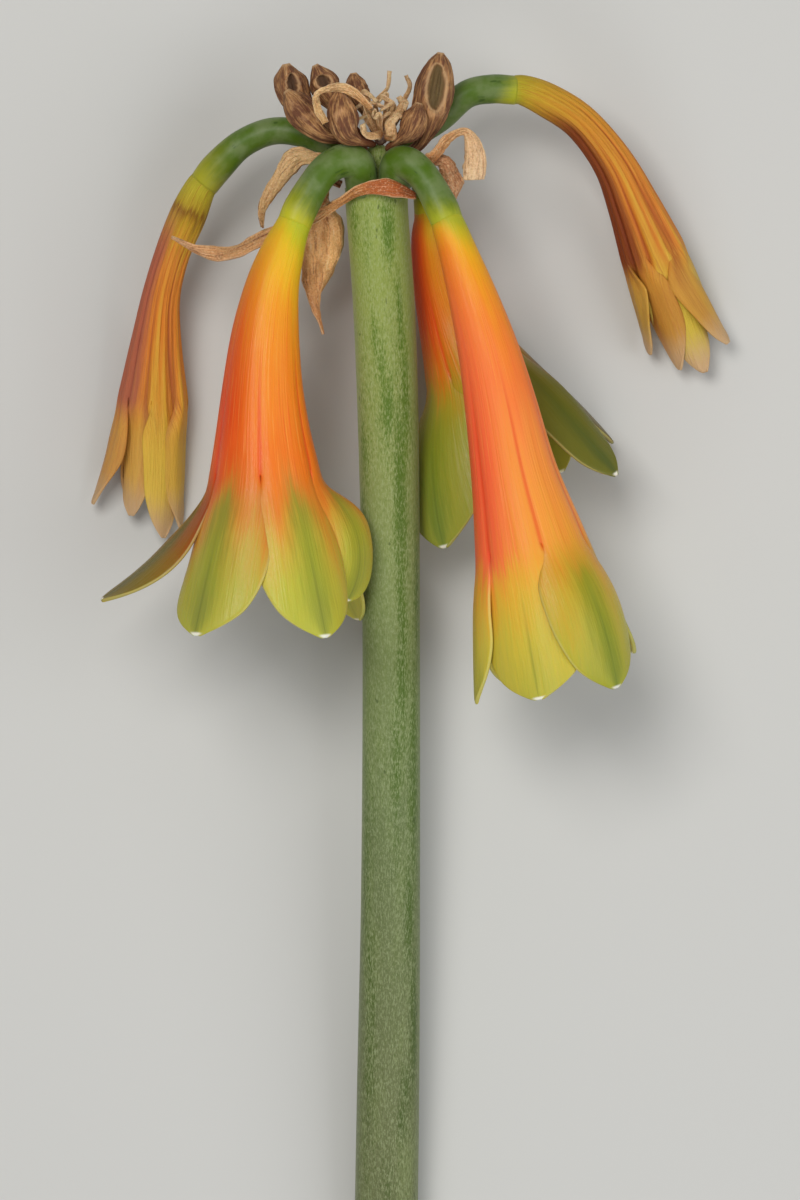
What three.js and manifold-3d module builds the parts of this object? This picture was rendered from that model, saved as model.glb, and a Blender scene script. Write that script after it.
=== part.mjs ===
// Cape coast lily: one cut flowering stem, lying on its back.
// A thick leafless stem carries a head of three open and two wilted blooms, seven dry seed pods,
// the dry bracts that once wrapped the bud, and a tangle of thin dry bractlets.
// Millimetres. X runs to the right, Y along the stem towards the head, Z up from the surface.
// Pieces are placed from the middle of the stem's top, then the whole is set down on the surface.

import * as THREE from 'three';
import { mergeVertices } from 'three/addons/utils/BufferGeometryUtils.js';
import Module from 'manifold-3d';

const wasm = await Module();
wasm.setup();

// Driving dimensions

const HEAD_RISE_DEG = 5.6;
const HEAD_HEIGHT = 24.2;
const GAP = 0.3;
const PETAL_WALL = 0.85;
const WILTED_WALL = 1;
const PLEAT_DEPTH = 0.13;
const LOBE_THICKNESS = 0.62;
const PAPER_THICKNESS = 0.62;

// Stem: [x, y, z, radius] from its top down to the cut foot

const STEM = [
  [-0.2, 0, 0, 5.6],
  [-0.2, -4, 0, 5.4],
  [0.9, -19.5, 0, 5.4],
  [1.6, -37, 0, 5.35],
  [2.1, -62, 0, 5.15],
  [2.3, -85, 0, 5.05],
  [2.2, -124, 0, 5.2],
  [1.8, -158, 0, 5.5],
  [1.3, -192, 0, 5.6],
];
const STEM_SIDES = 16;
const STEM_STEPS = 9;
const CROWN = [
  [0, -0.6, -0.4, 1.2],
  [0, 2.4, -0.4, 1.35],
  [0, 5, -0.4, 2.1],
  [0, 6.6, -0.4, 2],
  [0, 7.6, -0.4, 0.9],
];

// Blooms. A stalk runs from the stem's top over its bend to the ovary, and the tube goes on in its
// line from the ovary to the rim. Lobes stand round the rim: turn is degrees round the tube from the
// front towards the right, lean and tip are the degrees that the lobe leaves the tube's line by, at
// its root and at its tip. Over is how far it lies over (1) or under (-1) its neighbours, and twist
// the degrees it turns about its own line. A knuckle is the point of the stalk where it bends too
// sharply for its thickness.

const BLOOMS = [
  {
    name: 'front_left',
    knuckle: 2,
    stalk: [
      [-2.9, -1, 2.7, 2.6],
      [-3.0, 2.2, 3.4, 2.85],
      [-3.8, 4.5, 4.5, 3.0],
      [-6.3, 4.9, 5.5, 2.9],
      [-8.9, 3.5, 6.5, 2.75],
      [-10.9, 1.1, 7.4, 2.75],
      [-13.3, -3.0, 8.4, 3.0],
      [-14.5, -5.8, 9.0, 2.95],
    ],
    tube: [
      [-16.4, -10.4, 9.9, 3.4],
      [-18.2, -16.4, 10.9, 4.3],
      [-19.4, -24.5, 11.8, 5.5],
      [-19.9, -33.5, 12.4, 6.6],
      [-19.85, -41.5, 12.65, 7.85],
      [-19.6, -48.2, 12.75, 9.2],
    ],
    lobes: [
      { turn: -40, length: 29, width: 21, lean: 24, tip: 20, over: 0.2 },
      { turn: 33, length: 29.5, width: 19.5, lean: 18, tip: 15, over: 1 },
      { turn: 88, length: 26, width: 17, lean: 66, tip: -38, over: -1, twist: -34 },
      { turn: 131, length: 30, width: 15, lean: 19, tip: 27, over: -0.4 },
      { turn: 196, length: 23, width: 15, lean: 14, tip: 20, over: 1 },
      { turn: 274, length: 30, width: 11, lean: 32, tip: 61, over: -1, twist: 14 },
    ],
  },
  {
    name: 'front_right',
    knuckle: 2,
    stalk: [
      [2.9, -1, 2.7, 2.6],
      [3.0, 2.2, 3.5, 2.85],
      [3.6, 4.4, 4.6, 3.0],
      [5.4, 4.4, 6.0, 2.9],
      [7.4, 2.9, 7.1, 2.75],
      [9.1, 0.6, 7.9, 2.7],
      [11.0, -3.0, 8.9, 2.9],
      [11.9, -5.3, 9.4, 2.8],
    ],
    tube: [
      [13.9, -10.8, 10.3, 3.0],
      [16.4, -18.3, 11.3, 3.9],
      [19.0, -27.2, 12.0, 4.9],
      [21.2, -36.8, 12.4, 5.9],
      [23.6, -49.0, 12.5, 7.2],
      [26.2, -60.2, 12.3, 9.3],
    ],
    lobes: [
      { turn: -82, length: 26.5, width: 13, lean: 15, tip: 11, over: 1 },
      { turn: -19, length: 26.5, width: 21, lean: 12, tip: 9, over: -1 },
      { turn: 42, length: 28, width: 18.5, lean: 24, tip: -8, over: 1 },
      { turn: 104, length: 24.5, width: 13, lean: 16, tip: 8, over: -1 },
      { turn: 160, length: 26, width: 15, lean: 12, tip: 14, over: 1 },
      { turn: 218, length: 26, width: 15, lean: 13, tip: 12, over: -1 },
    ],
  },
  {
    name: 'back_right',
    stalk: [
      [3.3, -1, -1.8, 1.6],
      [4.9, 2.0, -2.9, 1.9],
      [7.2, 2.2, -4.4, 2.2],
      [8.5, -0.6, -5.6, 2.5],
      [8.9, -4.2, -6.4, 2.6],
    ],
    tube: [
      [9.2, -9.5, -7.8, 3.1],
      [10.5, -16.5, -9.4, 4.1],
      [12.9, -23.7, -10.6, 5.8],
      [15.9, -30.3, -11.0, 8.2],
    ],
    lobes: [
      { turn: -54, length: 30.5, width: 19.5, lean: 42, tip: 12, over: 1, twist: 16 },
      { turn: -4, length: 27, width: 15, lean: 10, tip: 6, over: -1 },
      { turn: 50, length: 30.5, width: 12, lean: 26, tip: 19, over: 1 },
      { turn: 100, length: 26.5, width: 14, lean: 28, tip: 15, over: -1 },
      { turn: 154, length: 28, width: 14, lean: 14, tip: 9, over: 1 },
      { turn: 238, length: 26, width: 14, lean: 14, tip: 14, over: -1 },
    ],
  },
];

const WILTED = [
  {
    name: 'wilted_left',
    stalk: [
      [-3.4, -1, -1.8, 1.65],
      [-4.8, 3.6, -3.1, 1.9],
      [-8.6, 7.2, -4.4, 2.2],
      [-13.6, 9.4, -5.2, 2.35],
      [-18.8, 9.7, -5.8, 2.4],
      [-24.0, 7.4, -6.4, 2.5],
      [-28.2, 3.4, -7.0, 2.8],
      [-30.4, 0.6, -7.5, 2.7],
    ],
    tube: [
      [-33.3, -4.9, -8.6, 2.95],
      [-36.1, -11.6, -10.0, 2.8],
      [-38.3, -19.5, -11.6, 3.1],
      [-39.3, -28.5, -13.2, 4.3],
      [-39.8, -37, -14.4, 5.7],
    ],
    deep: 0.62,
    lobes: [
      { turn: -70, length: 20.5, width: 9, lean: 9, tip: 14, over: 1 },
      { turn: -28, length: 21.5, width: 10, lean: 3, tip: -3, over: -1 },
      { turn: 26, length: 25, width: 9.5, lean: 4, tip: -2, over: 1 },
      { turn: 68, length: 23.5, width: 10, lean: 5, tip: -2, over: -1 },
      { turn: 126, length: 22, width: 10, lean: 2, tip: -2, over: 1 },
      { turn: 218, length: 20, width: 10, lean: 2, tip: -3, over: -1 },
    ],
  },
  {
    name: 'wilted_right',
    stalk: [
      [0.3, -1, -3.7, 1.5],
      [2.4, 4.6, -5.0, 1.8],
      [6.6, 9.0, -5.8, 2.2],
      [11.0, 12.2, -6.2, 2.4],
      [15.4, 16.1, -6.6, 2.45],
      [19.8, 17.1, -7.2, 2.55],
      [24.0, 16.9, -7.8, 2.55],
    ],
    tube: [
      [29.6, 15.1, -8.8, 2.75],
      [35.6, 11.2, -9.8, 2.9],
      [41.2, 4.2, -11.2, 3.35],
      [44.9, -3.4, -12.8, 4.25],
      [48.1, -11, -14.6, 5.3],
    ],
    deep: 0.62,
    lobes: [
      { turn: -80, length: 18, width: 9, lean: 7, tip: 5, over: 1 },
      { turn: -36, length: 22, width: 9.5, lean: 3, tip: 0, over: -1 },
      { turn: 4, length: 24, width: 10, lean: 2, tip: -3, over: 1 },
      { turn: 52, length: 21, width: 10, lean: 6, tip: 8, over: -1 },
      { turn: 118, length: 18.5, width: 9.5, lean: 2, tip: -3, over: 1 },
      { turn: 224, length: 17, width: 10, lean: 2, tip: -3, over: -1 },
    ],
  },
];

const TUBE_SIDES = 16;
const TUBE_STEPS = 7;
const TUBE_LEAD = [0.35, 1.6];
const PLEAT_GROWTH = 1.6;
const STALK_SIDES = 10;
const STALK_STEPS = 9;
const KNUCKLE_RINGS = 7;
const STALK_CUT = { radius: 6.1, depth: 8, sides: 16 };
const LOBE_ROOT = 1;
const LOBE_ROWS = 5;
const LOBE_COLUMNS = 4;
// Half width along a lobe, as a share of its widest
const LOBE_OUTLINE = [0.7, 0.9, 1, 1, 0.8, 0.07];
const WILTED_OUTLINE = [0.95, 1, 1, 0.9, 0.62, 0.12];
// Radius of a lobe's hollow across its tip
const OPEN_CUP = 13;
const BACK_RIGHT_CUP = 20;
const WILTED_CUP = 4.2;
const OVERLAP_LIFT = 0.45;
const LIFT_RUN = 6;
const STAMEN = {
  count: 6,
  turn: 20,
  // [share of the tube's line, share of the tube's radius, millimetres past that]
  route: [[0.7, 1, 0], [0.85, 0.6, 0], [1, 0.36, 5]],
  radius: 0.36,
  anther: 0.8,
  antherLength: 3.4,
};
const STYLE = { radius: 0.42, foot: 1, stops: [0.2, 0.4, 0.6, 0.8, 1], past: 9, stigma: 0.75 };

// Dry seed pods: the stalk's [x, y, z, radius] from the crown, then the pod's own to its nib. A
// window is the middle, half width and half height of the hollow where the pod has split.

const PODS = [
  {
    name: 'pod_tall_right',
    route: [
      [2.3, 5.9, 0.0, 0.75],
      [5.6, 6.4, 0.6, 0.85],
      [7.6, 8.4, 1.0, 1.2],
      [8.8, 12.4, 1.2, 2.8],
      [9.8, 17.4, 1.3, 3.2],
      [10.6, 21.6, 1.3, 1.9],
      [10.9, 23.6, 1.3, 0.5],
    ],
    window: [10.4, 18.2, 4.4, 1.9, 3.6],
  },
  {
    name: 'pod_small_right',
    route: [
      [1.7, 7.0, 1.6, 0.6],
      [3.6, 8.4, 4.4, 0.9],
      [5.4, 10.0, 5.6, 1.9],
      [6.5, 12.6, 5.9, 2.0],
      [7.1, 15.0, 5.8, 0.5],
    ],
  },
  {
    name: 'pod_upper_left',
    route: [
      [-2.3, 6.0, -1.2, 0.7],
      [-6.6, 9.8, -0.9, 0.8],
      [-11.2, 12.6, -0.8, 1.1],
      [-14.0, 15.2, -0.8, 2.5],
      [-15.4, 18.6, -0.8, 2.7],
      [-16.0, 21.6, -0.8, 0.6],
    ],
    window: [-15.0, 18.8, 1.9, 1.7, 2.3],
  },
  {
    name: 'pod_tilted_left',
    route: [
      [-2.1, 6.7, 1.4, 0.65],
      [-6.2, 8.6, 3.4, 0.9],
      [-9.4, 9.6, 4.2, 1.6],
      [-12.1, 12.2, 4.3, 2.6],
      [-14.3, 14.9, 4.4, 2.2],
      [-15.9, 17.1, 4.4, 0.5],
    ],
  },
  {
    name: 'pod_split',
    route: [
      [-1.6, 7.5, -1.4, 0.6],
      [-5.6, 12.0, -1.6, 0.8],
      [-8.4, 16.0, -1.6, 2.0],
      [-9.6, 18.6, -1.6, 2.4],
      [-11.0, 21.4, -1.6, 0.5],
    ],
    window: [-9.4, 19.0, 0.6, 1.5, 1.7],
  },
  {
    name: 'pod_egg',
    route: [
      [-0.9, 7.7, 1.2, 0.6],
      [-3.3, 8.4, 6.3, 0.9],
      [-5.2, 9.8, 7.9, 2.0],
      [-6.1, 12.6, 8.1, 2.6],
      [-6.5, 15.4, 7.8, 1.8],
      [-6.4, 17.3, 7.7, 0.45],
    ],
  },
  {
    name: 'pod_back',
    route: [
      [0.2, 8.0, -1.9, 0.6],
      [-1.6, 12.4, -2.4, 0.8],
      [-3.4, 16.2, -2.5, 1.9],
      [-4.0, 18.2, -2.5, 1.7],
      [-4.3, 20.0, -2.5, 0.5],
    ],
  },
];
const POD_SIDES = 9;
const POD_STEPS = 9;
const POD_RIBS = 3;
const POD_RIB_DEPTH = 0.1;
const POD_HOLLOW_DEPTH = 2.6;

// Dry bracts: [x, y, z, half width, turn in degrees about its own line], and the curl across

const BRACTS = [
  {
    name: 'bract_long',
    curl: 28,
    route: [
      [6.5, -1.0, 5.2, 0.8, 58],
      [1.8, 0.5, 7.8, 1.5, 12],
      [-2.8, 0.0, 7.4, 1.2, -20],
      [-6.8, -2.4, 4.4, 1.0, -40],
      [-12.2, -5.4, 2.9, 1.1, 20],
      [-19.4, -8.2, 3.2, 1.6, 30],
      [-25.8, -12.0, 1.4, 1.9, 10],
      [-31.0, -11.4, 0.6, 1.2, -20],
      [-36.0, -8.6, -0.6, 0.4, -30],
    ],
  },
  {
    name: 'bract_broad',
    curl: 70,
    route: [
      [-6.4, 0.6, -1.0, 0.8, 0],
      [-9.2, 1.6, -0.4, 1.2, 10],
      [-11.3, -2.0, -0.4, 2.8, 20],
      [-10.8, -8.4, -0.2, 3.6, 14],
      [-10.6, -14.6, -0.2, 3.2, 0],
      [-10.7, -19.4, 0.2, 1.7, -14],
      [-9.7, -25.0, 0.6, 0.4, -24],
    ],
  },
  {
    name: 'bract_thin',
    curl: 60,
    route: [
      [-3.2, 6.4, 0.6, 0.8, 60],
      [-9.0, 6.2, 1.6, 1.0, 70],
      [-15.2, 7.0, 2.2, 1.4, 50],
      [-18.6, 2.0, 2.6, 1.0, 30],
      [-20.2, -3.0, 3.4, 0.9, 10],
      [-20.6, -5.6, 4.8, 0.4, 0],
    ],
  },
  {
    name: 'bract_folded',
    curl: 60,
    route: [
      [6.2, 4.6, 1.8, 1.2, 40],
      [9.6, 5.2, 3.0, 1.4, 50],
      [12.4, 8.6, 3.4, 1.1, 40],
      [15.2, 9.8, 3.6, 0.7, 10],
      [16.6, 6.6, 3.8, 1.6, 0],
      [16.4, 2.2, 3.8, 1.3, -10],
    ],
  },
  {
    name: 'bract_curled',
    curl: 100,
    route: [
      [6.8, 1.8, 0.6, 0.7, 20],
      [9.0, 4.9, 0.8, 0.8, 20],
      [11.6, 4.9, 1.2, 0.9, 10],
      [12.8, 1.8, 1.6, 2.4, 0],
      [12.1, -1.6, 1.6, 1.0, -10],
    ],
  },
  {
    name: 'ribbon_left',
    curl: 40,
    route: [
      [-9.4, 12.0, 9.4, 0.7, 0],
      [-10.9, 15.2, 8.8, 0.8, 10],
      [-9.8, 18.2, 7.6, 0.8, 30],
      [-5.4, 19.2, 6.6, 0.9, 20],
      [-1.4, 15.4, 7.4, 0.5, 0],
    ],
  },
];
const BRACT_ROWS = 11;
const BRACT_COLUMNS = 2;

// Dry bractlets: ribbons and threads that spring from one small tuft on the crown

const TUFT = [
  [0.4, 8.1, 0.4, 1.0],
  [0.6, 9.6, 1.4, 1.5],
  [1.0, 11.2, 2.2, 1.2],
];
const BRACTLETS = [
  [[0.6, 9.4, 1.8, 0.9, 0], [-1.6, 12.6, 3.4, 1, 40], [-1, 14.8, 4, 0.8, 80], [1.8, 13.6, 4.6, 0.5, 60]],
  [[0.6, 9.4, 1.8, 0.9, 20], [1.6, 12, 3.6, 1.1, 0], [2.2, 14.6, 3.8, 0.9, -30], [0.4, 16.2, 3.6, 0.4, -60]],
  [[0.9, 9.6, 1.8, 0.8, -20], [3, 12.6, 1.4, 1, -60], [4.4, 14.4, 2.4, 0.8, -20], [3.6, 16, 2.8, 0.4, 0]],
  [[0.6, 9.2, 2, 0.9, 0], [0.2, 9.4, 4.8, 0.8, 30], [-2, 9.6, 6.6, 0.8, 50], [-2.6, 11.4, 7.2, 0.5, 30]],
  [[1.0, 9.4, 2.0, 0.8, 0], [2.4, 9.2, 5.6, 1.0, 20], [2.2, 11.4, 6.6, 0.9, 0], [3.4, 12.8, 7.2, 0.4, 0]],
  [[0.6, 10.4, 1.8, 0.5, 0], [-0.4, 14.6, 0.8, 0.4, 20], [1.6, 17.4, 0.8, 0.35, 40], [2, 20.4, 0.6, 0.35, 0]],
  [[1, 10.4, 1.6, 0.5, 0], [3.6, 14, 0.2, 0.4, 0], [5.5, 17.4, -0.8, 0.35, 20], [4.9, 19.6, -0.6, 0.35, 0]],
];
const BRACTLET_ROWS = 5;
const BRACTLET_CURL = 40;

// Finishes

const finish = (color, roughness) => new THREE.MeshStandardMaterial({ color, roughness, metalness: 0 });
const STEM_GREEN = finish(0x8a9f62, 0.55);
const STALK_GREEN = finish(0x7e9642, 0.5);
const PETAL_ORANGE = finish(0xf0883a, 0.45);
const PETAL_DEEP = finish(0xc8642a, 0.5);
const WILTED_GOLD = finish(0xb98338, 0.65);
const POD_BROWN = finish(0x8d6444, 0.8);
const PAPER_TAN = finish(0xb98a62, 0.85);

// Solids from shared points. Faces wind outwards.

const FRONT = new THREE.Vector3(0, 0, 1);
const radians = THREE.MathUtils.degToRad;

function solidFrom(points, faces) {
  const vertProperties = new Float32Array(points.flatMap((p) => [p.x, p.y, p.z]));
  const triVerts = new Uint32Array(faces.flat());
  return new wasm.Manifold(new wasm.Mesh({ numProp: 3, vertProperties, triVerts }));
}

function solidOfGeometry(geometry) {
  const bare = geometry.toNonIndexed();
  bare.deleteAttribute('normal');
  bare.deleteAttribute('uv');
  const merged = mergeVertices(bare, 1e-4);
  const vertProperties = new Float32Array(merged.attributes.position.array);
  const triVerts = new Uint32Array(merged.index.array);
  return new wasm.Manifold(new wasm.Mesh({ numProp: 3, vertProperties, triVerts }));
}

// Solids joined into one body. A pocket that the join seals is filled.

function joined(solids) {
  const whole = solids.reduce((sum, next) => sum.add(next));
  return whole.decompose().sort((a, b) => b.volume() - a.volume())[0];
}

// A smooth line through [x, y, z, size, turn] points. Each place on it has its own frame: along the
// line, to the front, and to the side.

function lineThrough(points) {
  const spline = (places) => new THREE.CatmullRomCurve3(places, false, 'catmullrom', 0.5);
  const path = spline(points.map(([x, y, z]) => new THREE.Vector3(x, y, z)));
  const extra = spline(points.map(([, , , size, turn = 0]) => new THREE.Vector3(size, turn, 0)));
  return (t) => {
    const along = path.getTangent(t);
    const front = FRONT.clone().addScaledVector(along, -FRONT.dot(along)).normalize();
    const side = front.clone().cross(along);
    const { x: size, y: turn } = extra.getPoint(t);
    return { at: path.getPoint(t), along, front, side, size, turn: radians(turn) };
  };
}

function ringAt(place, radiusAt, sides, deep = 1) {
  const ring = [];
  for (let i = 0; i < sides; i += 1) {
    const angle = (i / sides) * 2 * Math.PI;
    const radius = radiusAt(angle);
    const point = place.at.clone();
    point.addScaledVector(place.front, Math.cos(angle) * radius * deep);
    point.addScaledVector(place.side, Math.sin(angle) * radius);
    ring.push(point);
  }
  return ring;
}

// Rings joined in turn: closed on itself as a pipe, or capped at both ends as a rod

function loft(rings, pipe = false) {
  const sides = rings[0].length;
  const points = rings.flat();
  const faces = [];
  const bands = pipe ? rings.length : rings.length - 1;
  for (let i = 0; i < bands; i += 1) {
    const here = i * sides;
    const next = ((i + 1) % rings.length) * sides;
    for (let j = 0; j < sides; j += 1) {
      const k = (j + 1) % sides;
      faces.push([here + j, next + j, next + k], [here + j, next + k, here + k]);
    }
  }
  if (!pipe) {
    const last = (rings.length - 1) * sides;
    const middles = [rings[0], rings[rings.length - 1]].map((ring) => (
      ring.reduce((sum, p) => sum.add(p), new THREE.Vector3()).divideScalar(sides)
    ));
    points.push(...middles);
    for (let j = 0; j < sides; j += 1) {
      const k = (j + 1) % sides;
      faces.push([rings.length * sides, j, k], [rings.length * sides + 1, last + k, last + j]);
    }
  }
  return solidFrom(points, faces);
}

function rod(points, sides, steps, radiusOf = (place) => () => place.size) {
  const line = lineThrough(points);
  const rings = [];
  for (let i = 0; i <= steps; i += 1) {
    const place = line(i / steps);
    rings.push(ringAt(place, radiusOf(place, i / steps), sides));
  }
  return loft(rings);
}

// A thin blade from rows of { point, normal }, split into triangles alike on both faces

function blade(rows, thickness) {
  const across = rows[0].length;
  const offset = (sign) => rows.flat().map(({ point, normal }) => (
    point.clone().addScaledVector(normal, (sign * thickness) / 2)
  ));
  const points = [...offset(1), ...offset(-1)];
  const under = rows.length * across;
  const faces = [];
  const quad = (a, b, c, d) => faces.push([a, b, c], [a, c, d]);
  for (let i = 0; i + 1 < rows.length; i += 1) {
    for (let j = 0; j + 1 < across; j += 1) {
      const a = i * across + j;
      const b = a + across;
      faces.push([a, b, b + 1], [a, b + 1, a + 1]);
      faces.push([under + a, under + b + 1, under + b], [under + a, under + a + 1, under + b + 1]);
    }
    const left = i * across;
    const right = left + across - 1;
    quad(left + across, left, under + left, under + left + across);
    quad(right, right + across, under + right + across, under + right);
  }
  const tip = (rows.length - 1) * across;
  for (let j = 0; j + 1 < across; j += 1) {
    quad(j, j + 1, under + j + 1, under + j);
    quad(tip + j + 1, tip + j, under + tip + j, under + tip + j + 1);
  }
  return solidFrom(points, faces);
}

function between(values, share) {
  const place = THREE.MathUtils.clamp(share, 0, 1) * (values.length - 1);
  const low = Math.min(Math.floor(place), values.length - 2);
  return THREE.MathUtils.lerp(values[low], values[low + 1], place - low);
}

// One lobe: its root is sunk in the tube's wall, and its cross section starts on the tube's round

function lobeBlade(rim, lobe, outline, cup) {
  const angle = radians(lobe.turn);
  const outward = rim.front.clone().multiplyScalar(Math.cos(angle) * rim.deep);
  outward.addScaledVector(rim.side, Math.sin(angle));
  const reach = outward.length();
  outward.normalize();
  const across = outward.clone().cross(rim.along).normalize();
  const twist = radians(lobe.twist ?? 0);
  const rimSlope = radians(rim.slope);
  const spine = rim.at.clone().addScaledVector(outward, rim.size * reach - PETAL_WALL / 2);
  spine.addScaledVector(outward, -Math.sin(rimSlope) * LOBE_ROOT);
  spine.addScaledVector(rim.along, -Math.cos(rimSlope) * LOBE_ROOT);
  const step = (lobe.length + LOBE_ROOT) / LOBE_ROWS;
  const rows = [];
  for (let i = 0; i <= LOBE_ROWS; i += 1) {
    const share = Math.max(0, (i * step - LOBE_ROOT) / lobe.length);
    const free = Math.min(1, Math.max(0, i * step - LOBE_ROOT) / LIFT_RUN);
    const lean = share > 0 ? radians(THREE.MathUtils.lerp(lobe.lean, lobe.tip, share)) : rimSlope;
    const normal = outward.clone().multiplyScalar(Math.cos(lean));
    normal.addScaledVector(rim.along, -Math.sin(lean));
    const half = (lobe.width / 2) * between(outline, share);
    const round = THREE.MathUtils.lerp(rim.size - PETAL_WALL / 2, cup, share);
    const roll = twist * free;
    const row = [];
    for (let j = 0; j <= LOBE_COLUMNS; j += 1) {
      const swing = ((j / LOBE_COLUMNS) * 2 - 1) * (half / round) + roll;
      const point = spine.clone().addScaledVector(normal, OVERLAP_LIFT * lobe.over * free);
      point.addScaledVector(across, (Math.sin(swing) - Math.sin(roll)) * round);
      point.addScaledVector(normal, (Math.cos(swing) - Math.cos(roll)) * round);
      const facing = normal.clone().multiplyScalar(Math.cos(swing));
      facing.addScaledVector(across, Math.sin(swing));
      row.push({ point, normal: facing });
    }
    rows.push(row);
    spine.addScaledVector(outward, Math.sin(lean) * step);
    spine.addScaledVector(rim.along, Math.cos(lean) * step);
  }
  return blade(rows, LOBE_THICKNESS);
}

function tubeOf(bloom, line, wall, ripple = () => 1) {
  const outer = [];
  const inner = [];
  const { deep = 1 } = bloom;
  for (let i = 0; i <= TUBE_STEPS; i += 1) {
    const t = i / TUBE_STEPS;
    const place = line(t);
    const flat = THREE.MathUtils.lerp(1, deep, t);
    outer.push(ringAt(place, (angle) => place.size * ripple(t, angle), TUBE_SIDES, flat));
    inner.push(ringAt(place, (angle) => place.size * ripple(t, angle) - wall, TUBE_SIDES, flat));
  }
  return loft([...outer, ...inner.reverse()], true);
}

// The tube's line starts a gap past the stalk's end and keeps its direction there

function tubeLine(bloom) {
  const [before, end] = bloom.stalk.slice(-2).map(([x, y, z]) => new THREE.Vector3(x, y, z));
  const onward = end.clone().sub(before).normalize();
  const size = bloom.stalk.at(-1)[3];
  const starts = TUBE_LEAD.map((past) => {
    const { x, y, z } = end.clone().addScaledVector(onward, past);
    return [x, y, z, size];
  });
  return lineThrough([...starts, ...bloom.tube]);
}

function rimOf(bloom, line) {
  const rim = line(1);
  const before = line(1 - 1 / TUBE_STEPS);
  const rise = rim.at.distanceTo(before.at);
  rim.slope = THREE.MathUtils.radToDeg(Math.atan2(rim.size - before.size, rise));
  rim.deep = bloom.deep ?? 1;
  return rim;
}

// Six stamens, grown to the wall and free past the throat

function stamens(line, rim) {
  const solids = [];
  for (let k = 0; k < STAMEN.count; k += 1) {
    const angle = radians(STAMEN.turn + (k * 360) / STAMEN.count);
    const filament = [];
    for (const [t, share, past] of STAMEN.route) {
      const place = line(t);
      const radius = (place.size - PETAL_WALL / 2) * share;
      const at = place.at.clone().addScaledVector(place.along, past);
      at.addScaledVector(place.front, Math.cos(angle) * radius);
      at.addScaledVector(place.side, Math.sin(angle) * radius);
      filament.push([at.x, at.y, at.z, STAMEN.radius]);
    }
    solids.push(rod(filament, 3, 2));
    const foot = new THREE.Vector3(...filament.at(-1).slice(0, 3));
    const anther = [-0.5, 0, 0.5].map((share) => {
      const at = foot.clone().addScaledVector(rim.along, share * STAMEN.antherLength);
      return [at.x, at.y, at.z, Math.abs(share) < 0.4 ? STAMEN.anther : STAMEN.anther * 0.4];
    });
    solids.push(rod(anther, 4, 2));
  }
  return solids;
}

// The style runs through the tube from the ovary

function styleRod(line) {
  const start = line(0);
  const rim = line(1);
  const stops = [start.at.clone().addScaledVector(start.along, -STYLE.foot)];
  for (const t of STYLE.stops) stops.push(line(t).at);
  stops.push(rim.at.clone().addScaledVector(rim.along, STYLE.past));
  const points = stops.map((p) => [p.x, p.y, p.z, STYLE.radius]);
  points.at(-1)[3] = STYLE.stigma;
  return rod(points, 3, TUBE_STEPS);
}

// The surface that the stem lies on, as seen from the pieces before they are laid down

const laid = new THREE.Group();
laid.rotation.x = radians(HEAD_RISE_DEG);
laid.position.z = HEAD_HEIGHT;
laid.updateMatrix();
const GROUND = { wide: 400, long: 600, deep: 40 };
const ground = new THREE.BoxGeometry(GROUND.wide, GROUND.long, GROUND.deep);
ground.translate(0, 0, -GROUND.deep / 2);
const underground = solidOfGeometry(ground.applyMatrix4(laid.matrix.clone().invert()));

function addPiece(name, solid, material) {
  const { vertProperties, triVerts } = solid.getMesh();
  const geometry = new THREE.BufferGeometry();
  geometry.setAttribute('position', new THREE.BufferAttribute(vertProperties, 3));
  geometry.setIndex(new THREE.BufferAttribute(triVerts, 1));
  geometry.computeVertexNormals();
  const mesh = new THREE.Mesh(geometry, material);
  mesh.name = name;
  laid.add(mesh);
}

// A stalk is cut level with the stem's top

const { radius: cutRadius, depth: cutDepth, sides: cutSides } = STALK_CUT;
const stemTop = new THREE.CylinderGeometry(cutRadius, cutRadius, cutDepth, cutSides);
stemTop.translate(0, GAP - cutDepth / 2, 0);
const aboveStem = (solid) => solid.subtract(solidOfGeometry(stemTop));

// At a knuckle the stalk is two rods that meet in a ball of their own thickness

function stalkOf({ stalk, knuckle }) {
  if (knuckle === undefined) return aboveStem(rod(stalk, STALK_SIDES, STALK_STEPS));
  const [x, y, z, radius] = stalk[knuckle];
  const ball = new THREE.SphereGeometry(radius, STALK_SIDES, KNUCKLE_RINGS).translate(x, y, z);
  const rising = rod(stalk.slice(0, knuckle + 1), STALK_SIDES, knuckle + 1);
  const hanging = rod(stalk.slice(knuckle), STALK_SIDES, STALK_STEPS - knuckle);
  return aboveStem(joined([rising, solidOfGeometry(ball), hanging]));
}

// Stem with its crown

const stem = rod(STEM, STEM_SIDES, STEM_STEPS);
const crown = rod(CROWN, 8, 4);
addPiece('stem', joined([stem, crown]).subtract(underground), STEM_GREEN);

// Open blooms

for (const bloom of BLOOMS) {
  const line = tubeLine(bloom);
  const rim = rimOf(bloom, line);
  addPiece(`${bloom.name}_stalk`, joined([stalkOf(bloom), styleRod(line)]), STALK_GREEN);
  const atBack = bloom.name === 'back_right';
  const cup = atBack ? BACK_RIGHT_CUP : OPEN_CUP;
  const lobes = bloom.lobes.map((lobe) => lobeBlade(rim, lobe, LOBE_OUTLINE, cup));
  const perianth = joined([tubeOf(bloom, line, PETAL_WALL), ...lobes, ...stamens(line, rim)]);
  const color = atBack ? PETAL_DEEP : PETAL_ORANGE;
  addPiece(`${bloom.name}_perianth`, perianth.subtract(underground), color);
}

// Wilted blooms: the tube has sunk into pleats and the lobes have closed

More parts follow.
